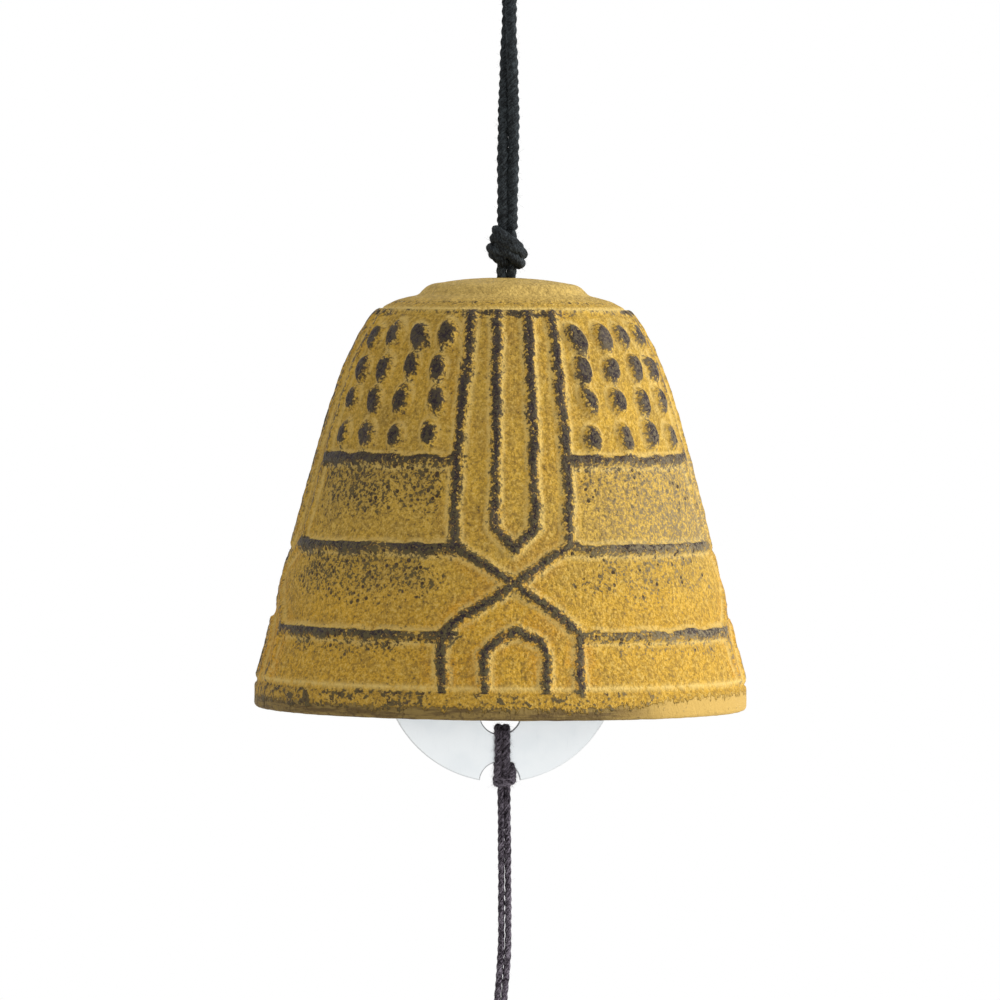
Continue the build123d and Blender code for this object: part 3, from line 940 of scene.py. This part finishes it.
def distance_to(x, h, points):
    """The distance from each (x, h) to a line of straight runs: to each run's nearest point, and the
    least."""
    nearest = np.full(x.shape, FAR)
    for (x0, h0), (x1, h1) in zip(points, points[1:]):
        run = (x1 - x0) ** 2 + (h1 - h0) ** 2
        share = np.clip(((x - x0) * (x1 - x0) + (h - h0) * (h1 - h0)) / run, 0, 1)
        nearest = np.minimum(nearest, np.hypot(x - x0 - share * (x1 - x0), h - h0 - share * (h1 - h0)))
    return nearest


def level_shapes(x, up, toward_left):
    """The level lines, each from one band's edge to the next. Gives the distance to the nearest, how far a
    point lies below the nearest one above it, which grows fast beside the line's end, and how far inside its
    worn top. The wear stops sharply above a line, fades out slowly below it, and is wider on the left."""
    nearest = np.full(x.shape, FAR)
    below = np.full(x.shape, FAR)
    worn = np.full(x.shape, UNWORN)
    for level, edge in LEVEL_LINES:
        aside = np.maximum(edge - np.abs(x), 0)
        nearest = np.minimum(nearest, np.hypot(aside, up - level))
        below = np.minimum(below, np.where(up < level + 0.3, level - up + 4 * aside, FAR))
        past = up - level - 0.70
        reach = np.hypot(aside, past) * np.where(past > 0, 8.0, 0.55)
        worn = np.maximum(worn, 0.60 + 0.25 * toward_left - reach)
    return nearest, below, worn


# %% The bosses
BOSS_HEIGHTS = [40.0, 45.1, 49.6, 54.1]
BOSS_ANGLES = [26.3, 38.8, 51.2, 63.7]
BOSS_HEIGHT = 1.0
BOSS_HALF_WIDTH = 1.85
BOSS_HALF_LENGTH = 2.7


def boss_shapes(angle, h, radius):
    """Ovals whose place, size and tilt are drawn at random for every panel, because each was pressed by
    hand. Gives their height in millimetres, roughly how many millimetres inside a worn top a point lies, and
    how far it is from the painted highlight along a flank, as a share of the oval."""
    draw = np.random.default_rng(5)
    height = np.zeros(angle.shape)
    worn = np.full(angle.shape, UNWORN)
    flank = np.full(angle.shape, 9.0)
    for panel in range(4):
        for row in BOSS_HEIGHTS:
            for column in BOSS_ANGLES:
                shift = draw.normal(0, 0.22, 2)
                size = draw.uniform(0.88, 1.12, 2)
                tilt = draw.normal(-0.18, 0.16)
                away = (angle - math.radians(90 * panel + column) + np.pi) % (2 * np.pi) - np.pi
                x = away * radius - shift[0]
                up = h - row - shift[1]
                across = (x * math.cos(tilt) - up * math.sin(tilt)) / (BOSS_HALF_WIDTH * size[0])
                along = (x * math.sin(tilt) + up * math.cos(tilt)) / (BOSS_HALF_LENGTH * size[1])
                reach = np.hypot(across, along)
                height = np.maximum(height, BOSS_HEIGHT * (1 - rise(reach, 0.50, 1.02)))
                worn = np.maximum(worn, 2.0 * (draw.uniform(0.60, 0.78) - reach))
                flank = np.minimum(flank, np.abs(reach - 0.92) + 0.06 * np.maximum(across - up, 0))
    return height, worn, flank


print("bosses:", 4 * len(BOSS_HEIGHTS) * len(BOSS_ANGLES))

# %% Everything raised on the outside
def relief(angle, h, radius):
    """The pattern at an angle round the bell and a height above the rim, with the numbers that the paint
    reads. A ridge is flat to RIDGE_TOP from its line and falls in an S to its foot. The result holds, in
    millimetres: height, how far a point is raised; worn, how far inside a worn top it lies; ridge, the
    distance to the nearest ridge; below, how far under a level line; lines, the distance to the nearest line
    of a band. flank is the distance to the painted highlight on a boss's flank, as a share of the boss. The
    front edges of the two side bands, which lie near the bell's outline in the photograph, are rubbed less
    than the rest."""
    place = np.stack([radius * np.sin(angle), radius * np.cos(angle), h], -1).reshape(-1, 3)
    sway = 0.13 * ripple(place, 5.0, 1).reshape(angle.shape)
    lift = 0.13 * ripple(place, 5.0, 2).reshape(angle.shape)
    fade = 0.25 * ripple(place, 11.0, 8).reshape(angle.shape)
    folded = (angle + np.pi / 4) % (np.pi / 2) - np.pi / 4
    x = radius * np.sin(folded) + sway
    up = h + lift
    lines = np.full(angle.shape, FAR)
    for points in band_lines:
        lines = np.minimum(lines, distance_to(x, up, points))
    levels, below, level_worn = level_shapes(x, up, 0.5 - 0.5 * np.sin(angle))
    ridge = np.minimum(lines, levels)
    height = RIDGE_HEIGHT * (1 - rise(ridge, RIDGE_TOP, RIDGE_FOOT))
    height = np.maximum(height, 0.35 * (1 - rise(np.abs(h - LEDGE_HEIGHT), 0.15, 0.5)))
    boss, boss_worn, flank = boss_shapes(angle, h, radius)
    around = np.abs((angle + np.pi) % (2 * np.pi) - np.pi)
    toward_side = 1 - rise(np.abs(around - 1.40), 0.10, 0.28)
    frame_worn = 0.40 - (np.abs(h - FRAME_HEIGHT) + 0.14 * np.maximum(np.abs(x) - 6, 0))
    ledge_worn = 0.02 - 1.8 * np.abs(h - FRAME_HEIGHT - 0.25)
    line_worn = 0.70 - lines - 0.55 * toward_side
    worn = np.max([line_worn, level_worn + fade, frame_worn, ledge_worn, boss_worn], 0)
    return SimpleNamespace(
        height=np.maximum(height, boss),
        worn=worn,
        ridge=np.minimum(ridge, 9),
        below=below,
        lines=lines,
        flank=flank,
    )


# %% [markdown]
# ## Paint
#
# The casting was painted dark, then gold-ochre over that, and then rubbed back. So the raised lines and the
# tops of the bosses are bare dark iron with ragged edges. A painted highlight lightens the gold along the
# foot of each line, round the flank of each boss, at the ledge and above the rim band. Under the level lines
# a painted shade darkens the gold, and it is peppered there with dark grains and small round pits. On the
# right a grey dust lies in the upper fields. Painted light makes the crown paler, as lit from above, and the
# bare iron paler towards the right, as lit from that side. The mesh carries how far inside a worn top each
# point lies, how thick the grains and the painted shade are, and where the painted highlights lie. The noise
# here only makes that ragged. Each tone is a thin coat over the ones before it, so the look can be read, and
# changed, line by line.

# %% What the paint is worked out from
def casting_signals(tree):
    """The numbers that the mesh carries at each point, and noises from fine grain to broad clouds."""
    at = SimpleNamespace()
    for name in ("worn", "grains", "edge", "warm", "level", "inside", "pale"):
        setattr(at, name, tree.field(name))
    at.fine = tree.noise(0.26 * MM, 2.0, 0.6)
    at.sand = tree.noise(0.52 * MM, 2.0, 0.6, seed=3.0)
    at.lumps = tree.noise(1.1 * MM, 3.0, 0.6, seed=5.0)
    at.patches = tree.noise(5.0 * MM, 3.0, 0.55, seed=7.0)
    at.clouds = tree.noise(14.0 * MM, 2.0, 0.5, seed=9.0)
    return at


# %% The gold, the rim band and the bare iron
def gold_coats(tree, at):
    """Gold-ochre: two tones in patches, under coats that depend on the height, the place and the grain."""
    crown = tree.step(at.level, 58.6, 60.5)
    panels = tree.step(at.level, 37.0, 39.0)
    upper_fields = tree.step(at.level, 21.0, 27.0) * (1.0 - tree.step(at.level, 36.0, 38.0))
    dark_grain = tree.step(at.sand * 0.6 + at.fine * 0.4, 0.46, 0.60)
    light_grain = tree.step(at.sand * 0.5 + at.fine * 0.5, 0.50, 0.37)
    dust = tree.step(at.sand * 0.5 + at.fine * 0.5, 0.43, 0.56) * upper_fields * at.pale
    near_lines = at.warm * tree.step(at.patches, 0.38, 0.58)
    base = tree.mix(tree.step(at.patches, 0.35, 0.68), (0.66, 0.410, 0.062), (0.50, 0.310, 0.052))
    return tree.coated(base, {
        "warmer clouds": (tree.step(at.clouds, 0.42, 0.64) * 0.5, (0.72, 0.425, 0.042)),
        "deeper gold low down": (tree.step(at.level, 26.0, 12.0) * 0.55, (0.74, 0.400, 0.026)),
        "orange near a band's lines": (near_lines * 0.75, (0.72, 0.340, 0.022)),
        # Painted light: the crown, lit from above, is paler.
        "painted light on the crown from above": (crown * 0.7, (0.78, 0.560, 0.185)),
        "brown lumps": (tree.step(at.lumps, 0.44, 0.60) * 0.35, (0.34, 0.225, 0.062)),
        "dark mottling": (dark_grain * (0.60 - crown * 0.18 - panels * 0.10), (0.22, 0.135, 0.040)),
        "light mottling": (light_grain * 0.55, (0.84, 0.60, 0.18)),
        # A painted highlight: lighter gold along the foot of each line, round each boss's flank, at the ledge
        # and above the rim band.
        "painted highlight along a line's foot": (at.edge * tree.step(at.lumps, 0.28, 0.52) * 0.75, (0.84, 0.60, 0.19)),
        # Painted shade under each level line, deepest right under it and towards the left, where the grains
        # are thickest.
        "shade under a level line": (tree.step(at.grains, 0.42, 0.80) * 0.36, (0.215, 0.145, 0.052)),
        "grey dust on the right": (dust * 0.70, (0.25, 0.215, 0.150)),
    })


def rim_coats(tree, at):
    """The rim band: brown in level streaks, gold in clouds and towards the right, dark in its grains."""
    streaks = tree.noise(0.45 * MM, 3.0, 0.6, tree.stretched(0.12, 0.12, 1.0), 2.0)
    gilded = tree.step(at.clouds * 0.5 + at.pale * 0.5, 0.42, 0.68)
    grained = tree.step(at.sand * 0.5 + at.lumps * 0.5 - at.pale * 0.1, 0.50, 0.60)
    base = tree.mix(tree.step(streaks, 0.38, 0.62), (0.15, 0.098, 0.038), (0.30, 0.205, 0.066))
    return tree.coated(base, {
        "gold": (gilded * 0.9, (0.66, 0.43, 0.115)),
        "dark grains": (grained * 0.6, (0.10, 0.065, 0.032)),
    })


def bare_iron(tree, at):
    """Iron where the paint has gone: nearly black in two tones, with bits of paint left in its grain, more
    of them low on the bell. Towards the right they are paler: painted sheen from the light on that side."""
    iron = tree.mix(tree.step(at.patches, 0.50, 0.64), (0.026, 0.017, 0.022), (0.060, 0.045, 0.044))
    # Painted sheen: the bits of paint in the iron's grain are paler towards the right, where the light comes
    # from.
    traces_and_sheen = tree.mix(at.pale, (0.125, 0.100, 0.045), (0.27, 0.215, 0.120))
    more_low_down = 0.50 + tree.step(at.level, 48.0, 18.0) * 0.45
    return tree.mix(tree.step(at.sand * 0.7 + at.fine * 0.3, 0.44, 0.57) * more_low_down, iron, traces_and_sheen)


# %% The bell's paint
def bell_paint():
    """Gold-ochre paint, worn through to dark iron on the raised lines, in grains and in pits. A grain or a
    pit shows where a noise is high enough for the number that the mesh carries there."""
    material, tree = new_finish("bell_paint")
    at = casting_signals(tree)
    ragged_level = at.level + (at.lumps - 0.5) * 4.0 + (at.sand - 0.5) * 2.0 - at.pale * at.pale * 1.3
    rim_band = 1.0 - tree.step(ragged_level, 1.3, 1.8)
    paint = tree.mix(rim_band, gold_coats(tree, at), rim_coats(tree, at))
    ragged = at.worn + (at.lumps - 0.5) * 1.5 + (at.sand - 0.5) * 2.2 + (at.fine - 0.5) * 1.2
    rubbed = tree.step(ragged, -0.30, 0.36)
    near_rim = tree.step(at.level, 5.2, 3.8)
    from_middle, chance = tree.cells(0.85 * MM)
    pitted = tree.step((at.grains - 0.26) * 1.25 - chance, -0.03, 0.04) * (1.0 - near_rim)
    pits = tree.step(from_middle + (at.sand - 0.5) * 0.5, 0.42, 0.26) * pitted
    specks = at.sand * 0.65 + at.fine * 0.35
    blotches = at.lumps * 0.6 + at.sand * 0.4
    pepper = tree.step(specks + (blotches - specks) * near_rim + at.grains * 0.31, 0.70, 0.75)
    outside = tree.mix(rubbed.over(pepper * 0.9).over(pits * 0.92), paint, bare_iron(tree, at))
    unpainted = tree.mix(tree.step(at.patches, 0.40, 0.62), (0.035, 0.026, 0.020), (0.085, 0.056, 0.028))
    height = at.sand * 0.8 + at.lumps * 1.2 + at.fine * 0.3 - rubbed * 0.12 - pits * 0.30
    tree.shade({
        "Base Color": tree.mix(at.inside, outside, unpainted),
        "Roughness": 0.70 - rubbed * 0.16 + (at.fine - 0.5) * 0.25,
        "Normal": tree.bump(1.0, 0.42 * MM, height * (1.0 - rim_band * 0.45)),
        "Specular IOR Level": 0.14,
    })
    return material


# %% The casting's surface
FINE_COLUMNS = 480
COARSE_COLUMNS = 120


def ring_of(profile, angles, reach):
    """Each profile point carried round at the angles, moved out along the profile's own normal by reach."""
    slope = np.gradient(profile, axis=0)
    slope /= np.linalg.norm(slope, axis=1, keepdims=True)
    out = np.stack([slope[:, 1], -slope[:, 0]], 1)
    r = profile[:, :1] + out[:, :1] * reach
    h = profile[:, 1:] + out[:, 1:] * reach
    x, y = r * np.sin(angles), -r * np.cos(angles)
    return np.stack([x, y, np.broadcast_to(h + RIM_LEVEL, x.shape)], -1)


def stitch(fine, coarse, fine_first):
    """Triangles between a ring of many columns and one of a quarter as many. fine and coarse are the numbers
    of their first points. The triangles face out where the fine ring comes first along the profile, and are
    turned round where it comes last."""
    i = np.arange(COARSE_COLUMNS)
    f = [fine + (4 * i + k) % FINE_COLUMNS for k in range(5)]
    c = [coarse + i, coarse + (i + 1) % COARSE_COLUMNS]
    corners = [
        (f[0], f[1], c[0]), (f[1], f[2], c[0]), (f[2], c[1], c[0]), (f[2], f[3], c[1]), (f[3], f[4], c[1]),
    ]
    faces = np.stack([np.stack(three, 1) for three in corners]).reshape(-1, 3)
    return faces if fine_first else faces[:, ::-1]


fine_angle = np.linspace(0, 2 * np.pi, FINE_COLUMNS, endpoint=False)[None, :]
coarse_angle = fine_angle[:, ::4]
fine_h = np.broadcast_to(fine_profile[:, 1:], (len(fine_profile), FINE_COLUMNS))
fine_r = np.broadcast_to(fine_profile[:, :1], fine_h.shape)
angle_grid = np.broadcast_to(fine_angle, fine_h.shape)
pattern = relief(angle_grid, fine_h, fine_r)
on_side = rise(fine_h, BAND_TOP + 0.1, BAND_TOP + 0.9) * (1 - rise(fine_h, 57.9, 58.4))
skin = np.stack([fine_r * np.sin(fine_angle), fine_r * np.cos(fine_angle), fine_h], -1).reshape(-1, 3)
sand_cast = 0.050 * ripple(skin, 3.2, 3) + 0.030 * ripple(skin, 1.3, 4)
sand_cast = sand_cast.reshape(fine_h.shape) * (0.35 + 0.65 * on_side)
fine_points = ring_of(fine_profile, fine_angle, pattern.height * on_side + sand_cast)
coarse_points = ring_of(coarse_profile, coarse_angle, 0.0)
print("relief:", np.round(pattern.height.max(), 2), "mm high")

# %% [markdown]
# The paint reads how worn each place is from numbers on the mesh. Grains are thick right under a level line
# and thin out down the field, in ragged patches and more towards the left, and the same numbers set the
# painted shade under each level line. The rim band has its own. worn and level are in millimetres. The others
# are 0 where nothing of their kind shows, and about 1 or more where it shows fully.

# %% Where the grains and the painted shade under the level lines lie
toward_left = 0.5 - 0.5 * np.sin(angle_grid)
toward_right = 0.18 * rise(np.sin(angle_grid), 0.25, 0.55) + 0.16 * rise(np.sin(angle_grid), 0.55, 0.85)
patchy = 0.5 + 0.5 * ripple(skin, 9.0, 6).reshape(fine_h.shape)
outside_band = rise(pattern.lines, 0.9, np.where(fine_h < 24, 6.5, 2.4)) * (pattern.below < 90)
field_depth = np.where(fine_h < 11.5, 4.5, 11.5)
down_field = 1 - 0.62 * rise(pattern.below, 0.3 * field_depth, field_depth)
in_field = down_field * outside_band * (0.42 + 0.14 * patchy + 0.17 * toward_left)
under_line = 0.85 * np.exp(-(np.maximum(pattern.below, 0) / 1.3) ** 2)
on_rim = (1 - rise(fine_h, 3.7, 4.7)) * rise(fine_h, 0.3, 1.2)
rim_grains = on_rim * (0.42 + 0.16 * patchy + 0.16 * toward_left - toward_right)
above_ledge = 0.55 * np.exp(-((fine_h - 59.3) / 0.35) ** 2)
side_grains = np.maximum(np.maximum(under_line, in_field), 0.20 + 0.10 * toward_left) * on_side
# These numbers set both the dark grains and pits and the painted shade under each level line.
grains = np.maximum(side_grains, rim_grains) + above_ledge
print("grains: up to", np.round(grains.max(), 2))

# %% Where the painted highlights and the warm gold lie, and the whole set of numbers
rim_light = 1.2 * np.exp(-((fine_h - 4.5) / 0.35) ** 2)
ledge_light = 2.0 * np.exp(-((fine_h - LEDGE_HEIGHT - 0.1) / 0.30) ** 2)
ridge_light = rise(pattern.ridge, 0.70, 0.88) * (1 - rise(pattern.ridge, 1.05, 1.6)) * on_side
boss_light = (1 - rise(pattern.flank, 0.05, 0.20)) * on_side
fine_values = {
    "worn": np.where(on_side > 0.02, pattern.worn, UNWORN),
    "grains": grains,
    # edge holds the painted highlights: along the foot of each ridge, round each boss's flank, at the ledge
    # and above the rim band.
    "edge": np.max([ridge_light, boss_light, ledge_light, rim_light], 0),
    "warm": (1 - rise(pattern.lines, 1.2, 3.6)) * on_side * (1 - 0.75 * rise(fine_h, 14, 30)),
    "level": fine_h,
    # pale rises towards the right, where the light comes from. It makes the bare iron's bits of paint paler
    # as painted sheen, and also sets where the grey dust and the rim band's gold lie.
    "pale": rise(np.sin(angle_grid), 0.1, 0.8),
    "inside": np.zeros(fine_h.shape),
}
coarse_count = len(coarse_profile) * COARSE_COLUMNS
inside_rows = np.arange(len(coarse_profile)) > len(crown_top)
coarse_values = {"worn": UNWORN, "level": FAR, "inside": np.repeat(inside_rows * 1.0, COARSE_COLUMNS)}
fields = {}
for key, value in fine_values.items():
    rest = np.broadcast_to(np.asarray(coarse_values.get(key, 0.0)), coarse_count)
    fields[key] = np.concatenate([value.ravel(), rest])
print("numbers on the mesh:", ", ".join(fields))

# %% The bell as one closed mesh
fine_count = fine_h.size
last_fine = fine_count - FINE_COLUMNS
last_coarse = fine_count + coarse_count - COARSE_COLUMNS
bell = make_piece(
    "bell_shell",
    np.vstack([fine_points.reshape(-1, 3), coarse_points.reshape(-1, 3)]) * MM,
    [
        grid_faces(len(fine_profile), FINE_COLUMNS),
        stitch(last_fine, fine_count, True),
        grid_faces(len(coarse_profile), COARSE_COLUMNS) + fine_count,
        stitch(0, last_coarse, False),
    ],
    bell_paint(),
    fields,
)
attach(bell, "bell")
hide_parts("bell_casting")

# %% [markdown]
# ## The clapper
#
# The disc is punched from aluminium sheet and left bare. The part's own mesh has the right shape, with its
# holes, notches and eased edges, so it stays, and gets a rolled-metal finish: nearly white, with the faint
# long scratches that sheet has, and a soft mottling from handling. A cut edge is rough and mirrors nothing,
# so the finish turns matt there.

# %% Bare rolled aluminium
def bare_aluminium():
    """Rolled sheet: pale metal with faint upright scratches and soft marks. It is metal only where the
    surface faces the front or the back, so that the cut edges stay matt."""
    material, tree = new_finish("bare_aluminium")
    scratches = tree.noise(0.10 * MM, 2.0, 0.6, tree.stretched(1.0, 1.0, 0.02))
    marks = tree.noise(4.0 * MM, 3.0, 0.55, seed=2.0)
    sheet_tone = tree.mix(tree.step(marks, 0.40, 0.66), (0.92, 0.955, 0.97), (0.89, 0.93, 0.95))
    coats = {"scratches": (tree.step(scratches, 0.62, 0.74) * 0.35, (0.55, 0.59, 0.62))}
    normal = tree.node("ShaderNodeTexCoord", output=1)
    facing = tree.node("ShaderNodeSeparateXYZ", None, [normal], output=1).math("ABSOLUTE")
    tree.shade({
        "Base Color": tree.coated(sheet_tone, coats),
        "Roughness": 0.26 + marks * 0.06 + tree.step(scratches, 0.58, 0.72) * 0.06,
        "Metallic": tree.step(facing, 0.70, 0.97),
        "Normal": tree.bump(0.20, 0.02 * MM, scratches * 0.5 + marks * 0.5),
    })
    return material


def refinish(node, finish):
    """Gives a part's own mesh a new material."""
    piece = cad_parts[node]
    piece.data.materials.clear()
    piece.data.materials.append(finish)
    print(node, "keeps its own mesh and is finished in", finish.name)


refinish("clapper_disc", bare_aluminium())

# %% [markdown]
# ## The paper strip
#
# The strip hangs below the photograph's edge, so its look is a plain one: thick handmade paper with long
# fibres in it, a little curled towards its lower end. It is one closed sheet. Its grid runs in rings from
# the punched hole out to the straight edges, over the edge and back to the hole on the far side. Two small
# rings of dyed paper stiffen the hole. They are the part's own meshes.

# %% Handmade paper
def handmade_paper(name, pale, deep):
    """Paper in two tones, with long pale fibres, darker flecks and a felted surface."""
    material, tree = new_finish(name)
    pulp = tree.noise(6.0 * MM, 4.0, 0.6)
    fibres = tree.noise(1.4 * MM, 4.0, 0.7, tree.stretched(1.0, 1.0, 0.22), 3.0)
    flecks = tree.noise(0.9 * MM, 1.0, 0.4, tree.stretched(1.0, 1.0, 0.4), 6.0)
    felt = tree.noise(0.25 * MM, 3.0, 0.6, seed=8.0)
    vein = 1.0 - tree.step((fibres - 0.5).math("ABSOLUTE"), 0.0, 0.012)
    coats = {
        "pale fibres": (vein * 0.45, (0.93, 0.91, 0.86)),
        "dark flecks": (tree.step(flecks, 0.74, 0.78) * 0.55, (0.42, 0.33, 0.22)),
    }
    tree.shade({
        "Base Color": tree.coated(tree.mix(tree.step(pulp, 0.35, 0.68), pale, deep), coats),
        "Roughness": 0.9,
        "Normal": tree.bump(0.5, 0.05 * MM, vein * 0.6 + felt * 0.5),
        "Specular IOR Level": 0.2,
    })
    return material


strip_paper = handmade_paper("strip_paper", pale=(0.80, 0.755, 0.655), deep=(0.72, 0.665, 0.56))
patch_paper = handmade_paper("patch_paper", pale=(0.30, 0.055, 0.045), deep=(0.22, 0.035, 0.030))

# %% The strip and the rings at its hole
paper_low, paper_high = box_of("paper_strip")
STRIP_WIDTH = float(paper_high[0] - paper_low[0])
STRIP_LENGTH = float(paper_high[2] - paper_low[2])
STRIP_HALF = float(paper_high[1] - paper_low[1]) / 2
STRIP_TOP = float(paper_high[2])
HOLE_RADIUS = 1.8 * MM
HOLE_LEVEL = STRIP_TOP - 5.0 * MM
SIDE_POINTS = (40, 60, 24, 60)
RINGS = 64


def strip_outline():
    """The strip's edge as points round it, clockwise from the upper left corner, seen from the front."""
    right, left, top, bottom = STRIP_WIDTH / 2, -STRIP_WIDTH / 2, STRIP_TOP, STRIP_TOP - STRIP_LENGTH
    corners = np.array([(left, top), (right, top), (right, bottom), (left, bottom), (left, top)])
    runs = [np.linspace(a, b, n, endpoint=False) for a, b, n in zip(corners, corners[1:], SIDE_POINTS)]
    return np.vstack(runs)


def strip_sheet():
    """The paper as rings: each ring lies a share of the way from the hole's edge to the strip's edge. The
    sheet curls: the square of the distance below the hole moves it back, the square of x takes some of that
    away towards the sides, and a sine of x adds a slow wave."""
    outline = strip_outline()
    centre = np.array([0.0, HOLE_LEVEL])
    ray = outline - centre
    hole_edge = centre + HOLE_RADIUS * ray / np.linalg.norm(ray, axis=1, keepdims=True)
    share = np.linspace(0, 1, RINGS)[:, None, None] ** 1.3
    flat = hole_edge * (1 - share) + outline * share
    x, z = flat[..., 0], flat[..., 1]
    down = np.clip((HOLE_LEVEL - 6 * MM - z) / STRIP_LENGTH, 0, 1)
    curl = 3.2 * MM * down**2 - 1.6 * MM * down * (x / (STRIP_WIDTH / 2)) ** 2
    wave = 0.5 * MM * down * np.sin(x / (7 * MM))
    front = np.stack([x, curl + wave - STRIP_HALF, z], -1)
    back = np.stack([x, curl + wave + STRIP_HALF, z], -1)[::-1]
    return np.vstack([front, back])


sheet = strip_sheet()
rows, columns = sheet.shape[:2]
ring = grid_faces(rows + 1, columns) % (rows * columns)
strip = make_piece("paper_sheet", sheet.reshape(-1, 3), [ring[:, ::-1]], strip_paper)
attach(strip, "strip")
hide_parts("paper_strip")
for node in ("strip_patch_front", "strip_patch_back"):
    refinish(node, patch_paper)

# %% [markdown]
# ## The floor
#
# The bell hangs, so the floor is only there to catch a soft shadow. It lies below the photograph's view.

# %% Floor
FLOOR_LEVEL = -0.33
FLOOR_RADIUS = 1.1
FLOOR_POINTS = 96


def floor_finish():
    """Matt white board with the faintest mottling."""
    material, tree = new_finish("floor_board")
    mottling = tree.noise(0.05, 2.0, 0.5)
    tree.shade({"Base Color": tree.mix(mottling, (0.90, 0.90, 0.89), (0.93, 0.93, 0.92)), "Roughness": 0.9})
    return material


floor_angle = np.linspace(0, 2 * np.pi, FLOOR_POINTS, endpoint=False)
floor_x, floor_y = FLOOR_RADIUS * np.cos(floor_angle), FLOOR_RADIUS * np.sin(floor_angle)
floor_points = np.stack([floor_x, floor_y, np.full(FLOOR_POINTS, FLOOR_LEVEL)], 1)
floor = make_piece("floor", floor_points, [np.arange(FLOOR_POINTS)[None, :]], floor_finish())
